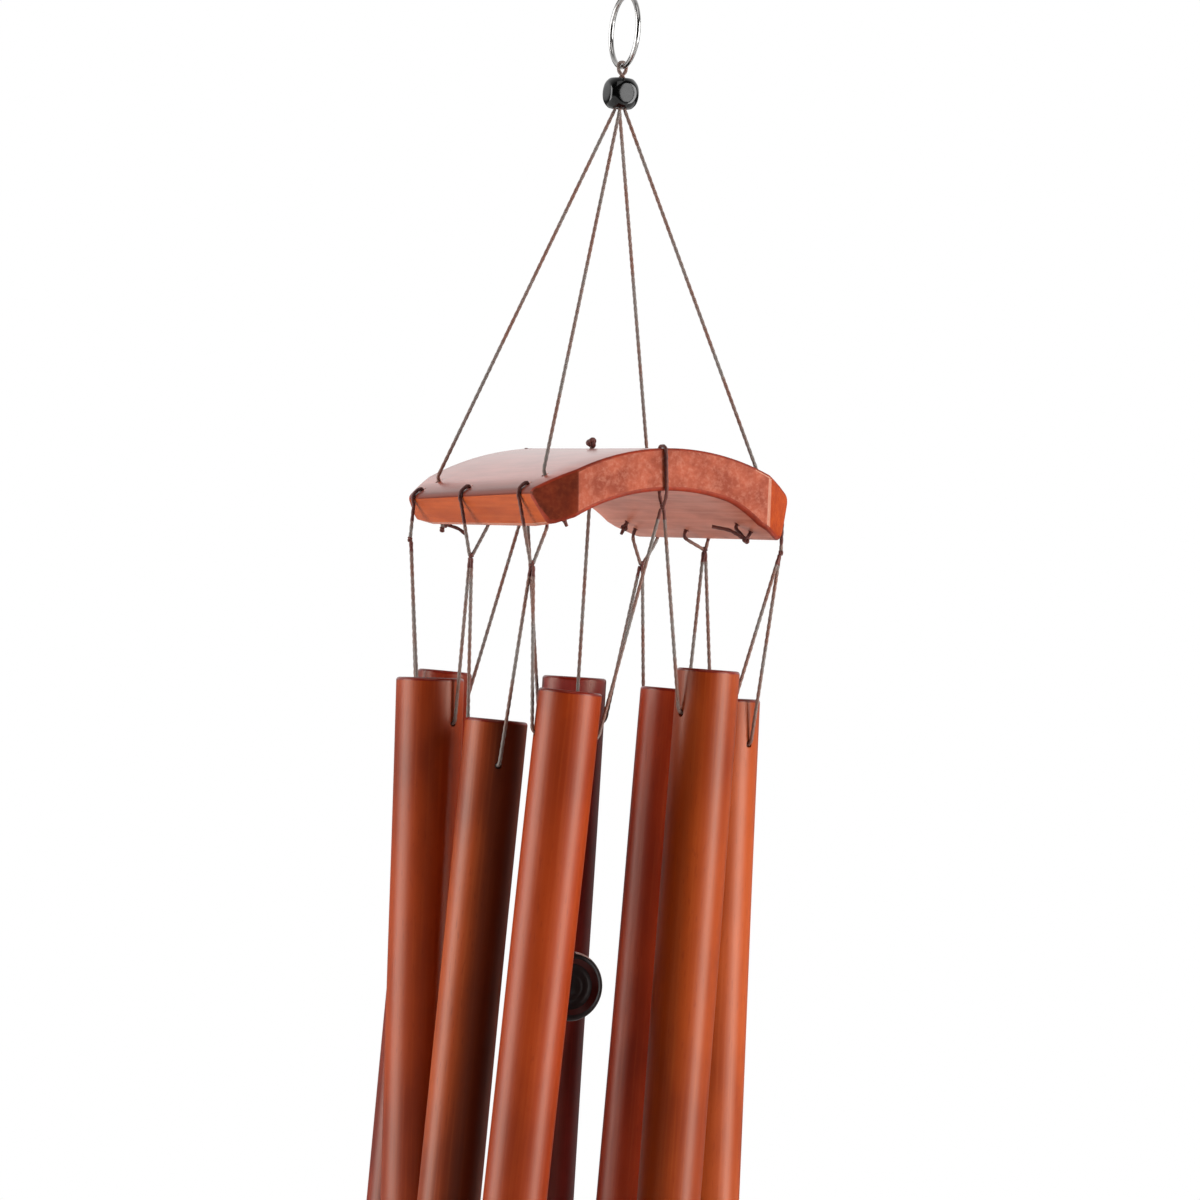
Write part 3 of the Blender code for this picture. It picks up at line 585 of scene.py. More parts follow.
def tube_profile(radius, low, top):
    """Outside with rounded rims and bore with broken edges, as radius and height pairs."""
    inner = radius - TUBE_WALL
    corner = [(1 - math.sin(a), 1 - math.cos(a)) for a in quarter(RIM_STEPS)]
    outer = [(radius - TUBE_RIM * x, low + TUBE_RIM * y) for x, y in corner]
    straight = top - low - 2 * TUBE_RIM
    rows = max(2, round(straight / TUBE_STEP))
    outer += [(radius, low + TUBE_RIM + straight * i / rows) for i in range(1, rows)]
    outer += [(radius - TUBE_RIM * x, top - TUBE_RIM * y) for x, y in reversed(corner)]
    bore = [(inner + EDGE_BREAK * x, top - EDGE_BREAK * y) for x, y in corner]
    bore += [(inner, low + (top - low) * share) for share in (0.75, 0.5, 0.25)]
    bore += [(inner + EDGE_BREAK * x, low + EDGE_BREAK * y) for x, y in reversed(corner)]
    return outer + bore


def bamboo_tube(number):
    across, length = TUBES[number - 1][:2]
    radius = across * MM / 2
    top = TUBE_HOLE_DROP
    low = top - length * MM
    points, faces = lathe(tube_profile(radius, low, top), TUBE_SIDES, closed=True)
    phase = 1.7 * number  # no two canes swell at the same places
    for p in points:  # a cane is a little oval, a little three-sided, and swells along its length
        a = math.atan2(p.y, p.x)
        share = (p.z - low) / (top - low)
        swell = math.cos(2 * a + phase + share) + 0.5 * math.cos(3 * a - phase)
        swell += 0.8 * math.cos(9.0 * share + phase)
        p += Vector((math.cos(a), math.sin(a), 0)) * OUT_OF_ROUND * (swell - 0.8)
    pin, middle, bore, third, rise = tube_frame(number)
    matrix = Matrix.Translation(middle) @ Matrix((bore, third, rise)).transposed().to_4x4()
    looks = [tube_skins[number - 1], tube_end, tube_inside, tube_rim]
    node_name = f"tube_{number}"
    made = shape(f"bamboo_{node_name}", points, faces, looks, node_name, node_name, "bamboo", matrix)
    hole = (radius + DRILL_CLEAR, HOLE_RADIUS)
    points, faces = drill(*hole, 24, HOLE_RADIUS + MOUTH_WIDER, radius - MOUTH_DEPTH)
    aside = (pin - middle).dot(third)
    cut(made, [Vector((p.z, p.x + aside, p.y)) for p in points], faces)
    for face in made.data.polygons:
        c = face.center
        if abs(face.normal.z) > 0.99:
            face.material_index = CUT_END
        elif math.hypot(c.x, c.y) < radius - TUBE_WALL + BORE_BAND:
            face.material_index = BORE_WALL
        else:
            at_rim = min(top - c.z, c.z - low) < TUBE_RIM
            face.material_index = ROUND_RIM if at_rim else TUBE_SKIN
    smooth(made)
    return made


tubes = [bamboo_tube(k) for k in range(1, len(TUBES) + 1)]
print("tubes", len(tubes), "faces", sum(len(t.data.polygons) for t in tubes))

# %% [markdown]
# ## The arched plate
# The plate is a slice of the wall of a giant bamboo: arched across, straight along, about
# 16 mm thick, with its corners sawn off upright and all edges rubbed round. Fibres run along
# it, so its sides show lines and its ends a mottle of cut fibre bundles. It is made as an arch,
# the corners are sliced off with planes, the edges are bevelled and the cord holes are drilled
# last.

# %% Thick bamboo
BUNDLE = 1.6 * MM  # fibre bundles of a thick wall
FINER = 1.2  # the dark lines between bundles are finer by this
DYE_WIDTH = 6 * MM
DYE_LENGTH = 25 * MM
SAW_MOTTLE = 1.9 * MM
SAW_PATCH = 9 * MM
SHADE_AND_RUB_FROM = 47 * MM  # towards the long edges the skin is painted darker as shade, and the coat thins
SHADE_AND_RUB_TO = 55 * MM


def thick_bamboo(name, tone, deep, pale, rough=0.42, dots=0.5, coat=0.2, edge_shade=None):
    """A thick wall, varnished or not: clouds of dye, pale bundles and dark lines along it.
    edge_shade is painted shade towards the long edges, where the coat also thins.
    """
    varnish = {"Coat_Weight": coat, "Coat_Roughness": 0.24, "Specular_Tint": WARM_SHEEN}
    made, tree, shader = new_material(name, rough, IOR=1.4, **varnish)
    strands = (BUNDLE, FIBRE_LENGTH, BUNDLE)
    bundle = pattern(tree, strands, kind="Voronoi")
    fibre = pattern(tree, [size / FINER for size in strands], 4.0)
    cloud = pattern(tree, (DYE_WIDTH, DYE_LENGTH, DYE_WIDTH), 4.0)
    colour = laid_over(tree, deep, tone, cloud, 0.35, 0.65)
    colour = laid_over(tree, colour, pale, bundle, 0.55, 0.1, dots)
    colour = laid_over(tree, colour, deep, fibre, 0.5, 0.75, 0.6)
    # painted shade towards the long edges, and a thinner coat there
    if edge_shade:
        spot = node(tree, "ShaderNodeTexCoord").outputs["Object"]
        across = node(tree, "ShaderNodeSeparateXYZ", {0: spot}).outputs["X"]
        side = node(tree, "ShaderNodeMath", {0: across}, operation="ABSOLUTE")
        colour = laid_over(tree, colour, edge_shade, side, SHADE_AND_RUB_FROM, SHADE_AND_RUB_TO)
        thinner = {"Value": side, "From Min": SHADE_AND_RUB_FROM, "From Max": SHADE_AND_RUB_TO, "To Min": coat, "To Max": 0.0}
        left = node(tree, "ShaderNodeMapRange", thinner)
        tree.links.new(left.outputs[0], shader.inputs["Coat Weight"])
    dress(tree, shader, colour, (fibre, 0.2, 0.3 * MM))
    return made


def sawn_bamboo(name, tone, deep, pale, rough=0.6):
    """Bamboo sawn across and dyed: cut bundles show as a fine mottle, not as clean dots."""
    made, tree, shader = new_material(name, rough, IOR=1.35, Specular_Tint=WARM_SHEEN)
    speck = pattern(tree, [SAW_MOTTLE] * 3, 4.0, Roughness=0.62)
    patch = pattern(tree, [SAW_PATCH] * 3, 2.0)
    colour = laid_over(tree, deep, tone, patch, 0.35, 0.65)
    colour = laid_over(tree, colour, pale, speck, 0.46, 0.76, 0.6)
    colour = laid_over(tree, colour, deep, speck, 0.44, 0.28, 0.6)
    dress(tree, shader, colour, (speck, 0.35, 0.5 * MM))
    return made


SKIN, ENDS, SIDES, UNDER, RIM, SHADED_CUT, LIT_CUT, HIGHLIGHT_EDGE = range(8)
plate_looks = [
    # its last colour is painted shade towards the long edges
    thick_bamboo("varnished thick bamboo", "#B85846", "#A44836", "#C46858", 0.30, 0.25, 0.7, "#6A2C20"),
    sawn_bamboo("sawn thick bamboo end", "#A64E35", "#863520", "#BC7660"),
    thick_bamboo("sawn thick bamboo side", "#AE4A16", "#963A0D", "#BC602C", 0.5, 0.3, 0.0),
    thick_bamboo("thick bamboo inner wall", "#C47660", "#A85C46", "#D09480", 0.45, 0.3, 0.0),
    # the rounded end edges are painted darker; along the hollow's edge this is painted shade
    thick_bamboo("darker rounded rim with painted shade", "#93290C", "#741C06", "#A03C1C", 0.5, 0.2, 0.0),
    # one corner cut finish in two copies: painted shade and painted light
    sawn_bamboo("corner cut painted in shade", "#74260F", "#541806", "#8A3A1E"),
    sawn_bamboo("corner cut painted as lit", "#A03A08", "#8E2E04", "#AC4A16"),
    # a paler copy of the side, painted as the highlight on rounded edges
    thick_bamboo("rim painted with a highlight", "#B97E68", "#A86A54", "#C89480", 0.5, 0.3, 0.0),
]
print("plate finishes", len(plate_looks))

# %% Plate section
ARCH_STEPS = 30
CORNER_ACROSS = 15.0 * MM
CORNER_ALONG = 11.0 * MM
CUT_ANGLE = math.asin((PLATE_HALF_WIDTH - CORNER_ACROSS) / PLATE_RADIUS)
SIDE_SPLIT = 0.41  # where a side's upper rounding gives way to its lower one


def flank(sx):
    """One side of the section, from the outer arc round both edges to the hollow."""
    start = arch(sx * EDGE_ANGLE, PLATE_RADIUS)
    tip = arch(sx * HALF_ANGLE, PLATE_RADIUS)
    between = tip.lerp(foot(sx), SIDE_SPLIT)
    end = arch(sx * FOOT_ANGLE, under_radius(sx * FOOT_ANGLE))
    upper = bent([start, tip, between], EDGE_ROUND, ROUND_STEPS)
    lower = bent([between, foot(sx), end], FEET[sx][2], ROUND_STEPS)
    return upper[:-1] + lower[1:]


def plate_section():
    """The whole section; a point of the top lies where each corner cut starts."""
    steps = ARCH_STEPS - 4
    between = [CUT_ANGLE * (2 * i / steps - 1) for i in range(steps + 1)]
    last = [(CUT_ANGLE + EDGE_ANGLE) / 2, EDGE_ANGLE]
    angles = [-last[1], -last[0], *between, *last]
    outer = [arch(angle, PLATE_RADIUS) for angle in angles]
    angles = [FOOT_ANGLE * (1 - 2 * i / ARCH_STEPS) for i in range(ARCH_STEPS + 1)]
    hollow = [arch(angle, under_radius(angle)) for angle in angles]
    return outer + flank(1)[1:-1] + hollow + flank(-1)[-2:0:-1]


section = plate_section()
print("plate section points", len(section))

# %% Plate block
RIM_ROUND = 0.9 * MM  # edge of each end, on top
HOLLOW_ROUND = 1.7 * MM  # edge of each end, below, which the rubbing cloth caught more
POST_ROUND = 2.2 * MM  # upright edges beside the corner cuts
RUBBED_CORNERS = ((-50.4, 55.6, 3.2), (-50.4, -55.6, 1.8))  # lower left ones: where, how much
RUBBED_FROM = 42 * MM
RUBBED_REACH = 9 * MM
RUBBED_TOP = PLATE_LOW + 10 * MM  # a rubbed corner starts below this height
RUBBED_DEPTH = 12 * MM
SHARP = math.radians(26)


def rounding(edge):
    """How far one sharp edge of the plate is rubbed round."""
    low, high = sorted((v.co for v in edge.verts), key=lambda p: p.z)
    if high.z - low.z > PLATE_THICK / 2:
        at_end = abs(low.y) > PLATE_HALF_LENGTH - MM
        return POST_ROUND if at_end and low.x * low.y < 0 else RIM_ROUND
    middle = (low + high) / 2
    far = math.hypot(middle.x, middle.z - CROWN.z + PLATE_RADIUS)
    return RIM_ROUND if far > PLATE_RADIUS - PLATE_THICK / 2 else HOLLOW_ROUND


def plate_block():
    """The arch with its four corners sliced off, level, with rounding marked on its edges."""
    work = bmesh.new()
    weight = work.edges.layers.float.new("bevel_weight_edge")
    rings = []
    for y in (-PLATE_HALF_LENGTH, -RUBBED_FROM, 0.0, RUBBED_FROM, PLATE_HALF_LENGTH):
        rings.append([work.verts.new(p + Vector((0, y, 0))) for p in section])
    for near, far in zip(rings, rings[1:]):
        for i in range(len(section)):
            work.faces.new((near[i - 1], near[i], far[i], far[i - 1]))
    last = 2 * ARCH_STEPS + 1 + len(flank(1)) - 2
    for ring in (rings[0], rings[-1]):
        for i in range(ARCH_STEPS):
            work.faces.new((ring[i], ring[i + 1], ring[last - i - 1], ring[last - i]))
        work.faces.new(ring[ARCH_STEPS : last - ARCH_STEPS + 1])
        work.faces.new([*ring[last:], ring[0]])
    for sx in (1, -1):
        for sy in (1, -1):
            side = Vector((sx * PLATE_HALF_WIDTH, sy * (PLATE_HALF_LENGTH - CORNER_ALONG), 0))
            out = Vector((sx * CORNER_ALONG, sy * CORNER_ACROSS, 0)).normalized()
            parts = work.verts[:] + work.edges[:] + work.faces[:]
            slice_at = {"plane_co": side, "plane_no": out, "dist": 1e-5, "clear_outer": True}
            bmesh.ops.bisect_plane(work, geom=parts, **slice_at)
            bmesh.ops.edgeloop_fill(work, edges=[e for e in work.edges if e.is_boundary])
    bmesh.ops.recalc_face_normals(work, faces=work.faces)
    for edge in work.edges:
        if edge.calc_face_angle() > SHARP:
            edge[weight] = rounding(edge) / POST_ROUND
    mesh = bpy.data.meshes.new("arched_plate")
    work.to_mesh(mesh)
    work.free()
    return mesh


def rubbed_away(point):
    """A point of the level plate, moved up where a lower corner is worn away."""
    low = held((RUBBED_TOP - point.z) / RUBBED_DEPTH)
    rise = 0.0
    for x, y, gone in RUBBED_CORNERS:
        far = math.hypot(point.x - x * MM, point.y - y * MM)
        rise += gone * MM * low * held(1 - far / RUBBED_REACH) ** 2
    return point + UP * rise


def plate_part(spot, normal):
    """Which finish a face of the level plate has, from where it is and which way it faces."""
    if abs(normal.y) > 0.995:
        return ENDS
    front_cut = normal.x * normal.y
    if abs(normal.z) < 0.02 and 0.78 < abs(normal.y) < 0.84:  # the corner cuts: front left and back right painted in shade, the other two as lit
        return SHADED_CUT if front_cut > 0 else LIT_CUT
    if abs(normal.y) < 0.05:  # what runs along the plate
        if normal.z > -0.15:
            return SKIN
        if normal.z < -0.75 or abs(spot.x) < PLATE_HALF_WIDTH - CORNER_ACROSS:
            return UNDER
        # the lower rounding of a side is painted with a highlight
        return HIGHLIGHT_EDGE if normal.z < -0.52 else SIDES
    if abs(normal.z) < 0.15:  # the upright edges beside the cuts: painted highlight at the end, else painted as lit or in shade
        at_end = abs(normal.y) > 0.84
        if front_cut < 0:
            return HIGHLIGHT_EDGE if at_end else LIT_CUT
        return SHADED_CUT
    return RIM


# %% Plate mesh
PLATE_MOUTH = HOLE_RADIUS + 1.1 * MM
MOUTH_FROM = 0.6 * MM  # a hole starts to widen this far below the skin
DRILL_OUT = 1.0 * MM


def joined(shapes):
    """Several shapes as one list of points and one of faces."""
    points = []
    faces = []
    for more, rings in shapes:
        start = len(points)
        points += more
        faces += [tuple(start + i for i in ring) for ring in rings]
    return points, faces


def plate_drills():
    """One drill for each cord hole, on the plate as it hangs."""
    spots = [loop_hole(*row[:3]) for row in LOOPS]
    spots += [(sx * HANGER_ANGLE, sy * HANGER_REACH) for sx in (1, -1) for sy in (1, -1)]
    middle = (PLATE_RADIUS + INNER_RADIUS) / 2
    places = [(arch(a, middle, y), arch(a, 1.0) - arch(a, 0.0)) for a, y in spots]
    places.append((Vector((STRIKER_SHIFT, 0, CROWN.z - PLATE_THICK / 2)), UP))
    low, high = -PLATE_THICK / 2 - LIP, PLATE_THICK / 2
    profile = [(0, low), (HOLE_RADIUS, low), (HOLE_RADIUS, high - MOUTH_FROM)]
    profile += [(PLATE_MOUTH, high + DRILL_OUT), (0, high + DRILL_OUT)]
    points, faces = lathe(profile, segments=20)
    drills = []
    for place, out in places:
        spin = UP.rotation_difference(out).to_matrix()
        drills.append(([hung(place + spin @ p) for p in points], faces))
    return joined(drills)


def arched_plate():
    made = bpy.data.objects.new("arched_plate", plate_block())
    scene.collection.objects.link(made)
    rub = made.modifiers.new("rub", "BEVEL")
    rub.limit_method = "WEIGHT"
    rub.width = POST_ROUND
    rub.segments = 4
    rub.use_clamp_overlap = False
    apply_changes(made)
    stand_in(made, plate_looks, "plate", "top_plate")
    for face in made.data.polygons:
        face.material_index = plate_part(face.center, face.normal)
    for vertex in made.data.vertices:
        vertex.co = hung(rubbed_away(vertex.co))
    cut(made, *plate_drills())
    smooth(made, edge=28)
    return made


plate = arched_plate()
print("plate faces", len(plate.data.polygons))

# %% [markdown]
# ## Cords
# The cord is waxed cotton of two plies laid together, about 1.5 mm across. A bevelled curve
# would give a smooth wire. Here the section has two lobes that turn as the cord runs, so the
# lay is real geometry. The lay is drawn longer than the real one so that it shows.

# %% Cord finish
WORN_STRETCH = 14 * MM  # how far the wax lasts before it is worn grey
HAIR = 0.35 * MM


def waxed_cord(name, brown, grey, light):
    """Dull waxed cotton: brown where the dye held, grey where it is worn, with pale fuzz."""
    made, tree, shader = new_material(name, 0.62, IOR=1.45, Sheen_Weight=0.15, Sheen_Roughness=0.5)
    wear = pattern(tree, [WORN_STRETCH] * 3, 2.0)
    hair = pattern(tree, [HAIR] * 3, 2.0)
    colour = laid_over(tree, brown, grey, wear, 0.4, 0.6)
    colour = laid_over(tree, colour, light, hair, 0.5, 0.75, 0.5)
    dress(tree, shader, colour, (hair, 0.3, 0.1 * MM))
    return made


cord_look = waxed_cord("waxed cotton cord", "#6E4434", "#6C625C", "#988C86")
# a darker copy of the cord: painted shade in the knots and where cords meet the plate
shaded_cord_look = waxed_cord("cotton cord with painted shade", "#45120A", "#5A2418", "#7A3E2C")
print("cord finishes:", cord_look.name, "and", shaded_cord_look.name)

# %% Cord mesh
CORD_SIDES = 10
CORD_STEP = 0.8 * MM
LAY = 6.0 * MM
PLY_DEPTH = 0.22  # share of the radius that the groove between the plies takes
KNOT_SIZE = (1.35 * MM, 0.6 * MM)  # radius of a pulled-tight knot, and of the cord in it
KNOT_STEP = 0.35 * MM
TREFOIL_STEPS = 48


def evenly(line, step):
    """The same line with points at an even spacing."""
    xyz = np.array([tuple(p) for p in line])
    far = np.concatenate([[0.0], np.cumsum(np.linalg.norm(np.diff(xyz, axis=0), axis=1))])
    count = max(4, int(math.ceil(far[-1] / step)) + 1)
    marks = np.linspace(0, far[-1], count)
    return [Vector(p) for p in np.stack([np.interp(marks, far, xyz[:, i]) for i in range(3)], axis=1)]


def length_of(line):
    return sum((b - a).length for a, b in zip(line, line[1:]))


def laid(line, radius=CORD_RADIUS, step=CORD_STEP):
    """Points and faces of a two-ply cord along a line."""
    line = evenly(line, step)
    points = []
    side = None
    far = 0.0
    for i, spot in enumerate(line):
        ahead = line[min(i + 1, len(line) - 1)] - line[max(i - 1, 0)]
        ahead.normalize()
        side = ahead.orthogonal() if side is None else side
        side = (side - ahead * side.dot(ahead)).normalized()
        other = ahead.cross(side)
        if i:
            far += (spot - line[i - 1]).length
        turn = 2 * math.pi * far / LAY
        for a in circle(CORD_SIDES):
            r = radius * (1 - PLY_DEPTH * (1 - abs(math.cos(a - turn))))
            points.append(spot + r * (math.cos(a) * side + math.sin(a) * other))
    faces = grid(len(line), CORD_SIDES, closed=True)
    faces.append(tuple(range(CORD_SIDES)))
    faces.append(tuple(range(len(points) - CORD_SIDES, len(points))))
    return points, faces


def overhand(centre, facing, size=KNOT_SIZE):
    """A pulled-tight overhand knot: a trefoil of the same cord, drawn into a ball."""
    reach, radius = size
    scale = (reach - radius) / 3
    spin = UP.rotation_difference(Vector(facing)).to_matrix()
    line = []
    for k in range(TREFOIL_STEPS + 1):
        t = 2 * math.pi * k / TREFOIL_STEPS
        x = math.sin(t) + 2 * math.sin(2 * t)
        y = math.cos(t) - 2 * math.cos(2 * t)
        z = -1.8 * math.sin(3 * t)
        line.append(Vector(centre) + spin @ (Vector((x, y, z)) * scale))
    return laid(line, radius, KNOT_STEP)


# %% Cord pieces
def cord(name, line, body, stands_for, knots=(), shaded=None):
    """A cord with its knots on one body. Knots are painted in shade, and so is what shaded picks."""
    rope = laid(line)
    parts = [rope] + [overhand(*knot) for knot in knots]
    made = shape(name, *joined(parts), [cord_look, shaded_cord_look], body, stands_for, "cord")
    for face in made.data.polygons:
        in_knot = face.index >= len(rope[1])
        face.material_index = int(in_knot or bool(shaded and shaded(face.center)))
    smooth(made, edge=60)
    return made


def hang(name, line, body, stands_for, lay="taut", **finish):
    """A cord. Gives its real length."""
    made = cord(name, line, body, stands_for, **finish)
    path = evenly(line, CORD_STEP)
    length = length_of(path)
    return length


# %% [markdown]
# ## Hanging the plate
# Four cords leave the bead together, each runs straight to its hole near a corner, passes
# through the plate and is stopped by a knot with a short tail. They carry the whole weight, so
# they are straight.

# %% Hanger cords
BEAD_TOP = -31.4 * MM
BEAD_LOW = -43.6 * MM
BUNDLE_HALF_WIDTH = 0.95 * MM
BUNDLE_HALF_DEPTH = 2.0 * MM
HANGER_KNOT_RADIUS = 2.0 * MM
HANGER_KNOT = (1.7 * MM, 0.7 * MM)
HANGER_TAIL = 3.2 * MM
HANGER_BEND = 1.6 * MM
INTO_BEAD = 2.0 * MM
SHADED_UNDER = PLATE_LOW + 5 * MM  # below this height the hangers are painted in shade

# which side, which end, the knot from its hole (outwards, endwards, down; zeros are tight) and
# the two points of its tail from the knot
HANGERS = (
    (-1, 1, (2.0, 5.5, 4.0), ((5.0, -3.0, -1.5), (8.0, -4.0, -4.0))),
    (-1, -1, (0.0, 0.0, 0.0), ()),
    (1, -1, (2.0, 5.5, 4.5), ((-5.5, 3.0, 3.4), (-12.0, 6.4, 4.4))),
    (1, 1, (0.0, 0.0, 0.0), ()),
)


def below_plate(spot):
    return spot.z < SHADED_UNDER


lengths = []
for number, (sx, sy, slack, tail) in enumerate(HANGERS, 1):
    leave = Vector((sx * BUNDLE_HALF_WIDTH, sy * BUNDLE_HALF_DEPTH, BEAD_LOW))
    low = under_radius(sx * HANGER_ANGLE)
    radii = (PLATE_RADIUS + CORD, low, low - CORD)
    into, through, out = [hung(arch(sx * HANGER_ANGLE, r, sy * HANGER_REACH)) for r in radii]
    line = [leave + UP * INTO_BEAD, leave, into, through]
    if any(slack):
        line.append(out)
        knot = out + Vector((sx * slack[0], sy * slack[1], -slack[2])) * MM
        tail = [knot + Vector(p) * MM for p in tail]
    else:
        ahead = (out - through).normalized()
        knot = through + ahead * (HANGER_KNOT_RADIUS + FIT)
        tail = [knot + ahead * HANGER_TAIL]
    line = bent([*line, knot, *tail], HANGER_BEND)
    finish = {"knots": [(knot, away, HANGER_KNOT)], "shaded": below_plate}
    lengths.append(hang(f"hanger_line_{number}", line, "plate", f"hanger_cord_{number}", **finish))
print("hanger cords, mm", [round(v * 1000) for v in lengths])

# %% [markdown]
# ## Loops round the edge
# At eight places a cord goes through a hole near the edge, over the edge and back to itself,
# and is tied below the plate. At two corners it doesn't come back: the strand hangs straight
# down from the edge, and its other end is stopped by a knot under its hole. The knot outside is
# where the tube cords hang.

# %% Edge loops
LOOP_BEND = 2.6 * MM
SHADED_OVER = PLATE_LOW - 2 * MM  # above this height the loops are painted in shade


def on_plate(spot):
    return spot.z > SHADED_OVER


for number, (line, *knots) in enumerate(loops, 1):
    outward = Vector((knots[0].x, knots[0].y, 0)).normalized()
    finish = {"knots": [(knot, outward) for knot in knots], "shaded": on_plate}
    cord(f"loop_cord_{number}", bent(line, LOOP_BEND), "plate", f"edge_loop_{number}", **finish)
print("edge loops, mm", [round(length_of(line) * 1000) for line, *_ in loops])

# %% [markdown]
# ## Tube cords
# One cord carries each tube: from one knot down to the tube, through both walls, and up to the
# next knot. Where it enters the wall it turns sharply round the worn mouth of the hole.

# %% Bridles
BRIDLE_SPREAD = math.radians(36)
SHADED_END = 5.0 * MM  # the cord is painted in shade this far from each knot
BRIDLE_BEND = 2.2 * MM


def near(ends):
    """Picks what lies close to one of two knots."""
    return lambda spot: min((spot - end).length for end in ends) < SHADED_END


lengths = []
for number in range(1, len(TUBES) + 1):
    first, second, along = knots_of(number)
    pin, middle, bore, *_ = tube_frame(number)
    radius = TUBES[number - 1][0] * MM / 2
    wide = math.sqrt(radius**2 - (pin - middle).length_squared) + CORD_RADIUS
    reach = KNOT_RADIUS / 2
    inward = along * math.sin(BRIDLE_SPREAD) * reach
    down = UP * math.cos(BRIDLE_SPREAD) * reach
    line = [first + inward - down, pin - bore * wide, pin + bore * wide, second - inward - down]
    finish = {"lay": "hanging", "shaded": near((first, second))}
    names = (f"hang_{number}", f"bridle_{number}")
    lengths.append(hang(f"tube_cord_{number}", bent(line, BRIDLE_BEND), *names, **finish))
print("tube cords, mm", [round(v * 1000) for v in lengths])

# %% [markdown]
# ## Striker and its cord
# A knot on the crown of the plate holds the middle cord, which hangs down to a dark turned drum.
# The drum is lacquered wood with a rounded rim and a dished face turned in fine rings, and a
# stop knot below carries it. One stretch of its rim is painted pale as a highlight. A drum is a
# lathe's work, so its profile is turned here too, and each face then gets its finish from where
# it lies.

# %% Lacquered wood
FIGURE_WIDTH = 4 * MM
FIGURE_DEPTH = 1.1 * MM


def lacquer(name, tone, tint, rough, gleam=0.5):
    """Turned wood, lacquered or painted pale as a highlight: two close tones in a faint figure, and a
    soft gloss.
    """
    made, tree, shader = new_material(name, rough, IOR=1.45, Specular_IOR_Level=gleam)
    figure = pattern(tree, (FIGURE_WIDTH, FIGURE_WIDTH, FIGURE_DEPTH), 4.0)
    colour = laid_over(tree, tone, tint, figure, 0.0, 1.0)
    dress(tree, shader, colour, (figure, 0.08, 0.2 * MM), (figure, rough - 0.06, rough + 0.1))
    return made


drum_looks = [
    lacquer("brown-black lacquered wood", "#140A09", "#1C0E0D", 0.30, gleam=0.18),
    lacquer("red-brown lacquered wood", "#3A100C", "#4A1612", 0.34, gleam=0.18),
    # pale faces on the upper rim: a painted highlight
    lacquer("lacquer painted with a highlight", "#C4A49A", "#A88478", 0.40),
]
bead_look = lacquer("black lacquered bead", "#020202", "#060606", 0.10)
print("drum finishes", [look.name for look in drum_looks])

# %% Middle line
STRIKER_MIDDLE = -386.65 * MM
STRIKER_RADIUS = 13.6 * MM
STRIKER_HALF = 13.0 * MM
STRIKER_ROUND = 2.6 * MM
STRIKER_TURN = math.radians(-4)
NECK_LENGTH = 5.0 * MM
STEM_BELOW = 0.6 * MM  # the crown's cord shows this far below the plate
CROWN_KNOT = (2.4 * MM, 1.0 * MM)
CROWN_KNOT_SINK = 0.5 * MM

stem_low = CROWN.z - PLATE_THICK - STEM_BELOW
pivot = hung((STRIKER_SHIFT, 0, stem_low - FIT))
centre = Vector((pivot.x, pivot.y, 0))
neck_low = centre + UP * (pivot.z - NECK_LENGTH)
crown_knot = hung((STRIKER_SHIFT, 0, CROWN.z + FIT + KNOT_RADIUS))
stem = [crown_knot, hung((STRIKER_SHIFT, 0, stem_low))]
tied = [(crown_knot - UP * CROWN_KNOT_SINK, away, CROWN_KNOT)]
cord("crown_knot_cord", stem, "plate", "striker_top_knot", knots=tied)
cord("striker_neck_cord", [pivot + UP * FIT, neck_low - UP * FIT], "neck", "striker_neck")
stop = STRIKER_MIDDLE - STRIKER_RADIUS - FIT - KNOT_RADIUS
line = [neck_low - UP * FIT, centre + UP * (stop - KNOT_RADIUS * 0.6)]
tied = [(centre + UP * stop, away)]
length = hang("striker_drop_cord", line, "striker_line", "striker_cord", knots=tied)
print("striker cord, mm", round(length * 1000))

# %% Striker drum
TURNED_RINGS = (3.6 * MM, 6.6 * MM)  # tool marks in the dished faces
MARK_HEIGHT = 0.3 * MM
MARK_HALF = 1.0 * MM
DISH_RADIUS = 9.0 * MM
DISH_DEPTH = 1.8 * MM
DISH_EASE = 0.5 * MM
CREST_RADIUS = 11.0 * MM
FACE_EASE = 0.4 * MM  # the crest is broken by this
DRILL_PAST = 2.0 * MM
HIGHLIGHT_STRETCH = (math.radians(58), math.radians(88))  # stretch of the rim that is painted with a highlight
HIGHLIGHT_LEAN = (-0.72, 0.05)  # how far its highlighted faces lean to the front, and to the back
LACQUERED, SLOPE, HIGHLIGHT = range(3)


def drum_profile():
    """Half of the drum, from the middle of its face over the rim, and the same mirrored."""
    floor = STRIKER_HALF - DISH_DEPTH
    face = [(0.0, floor)]
    for r in TURNED_RINGS:
        face += [(r - MARK_HALF, floor), (r, floor + MARK_HEIGHT), (r + MARK_HALF, floor)]
    face += [(DISH_RADIUS, floor), (DISH_RADIUS + DISH_EASE, floor + DISH_EASE)]
    face += [(CREST_RADIUS - FACE_EASE, STRIKER_HALF - FACE_EASE), (CREST_RADIUS, STRIKER_HALF)]
    for a in quarter(ROUND_STEPS)[1:]:
        out = STRIKER_RADIUS - STRIKER_ROUND * (1 - math.sin(a))
        face.append((out, STRIKER_HALF - STRIKER_ROUND * (1 - math.cos(a))))
    return face + [(r, -z) for r, z in reversed(face)]


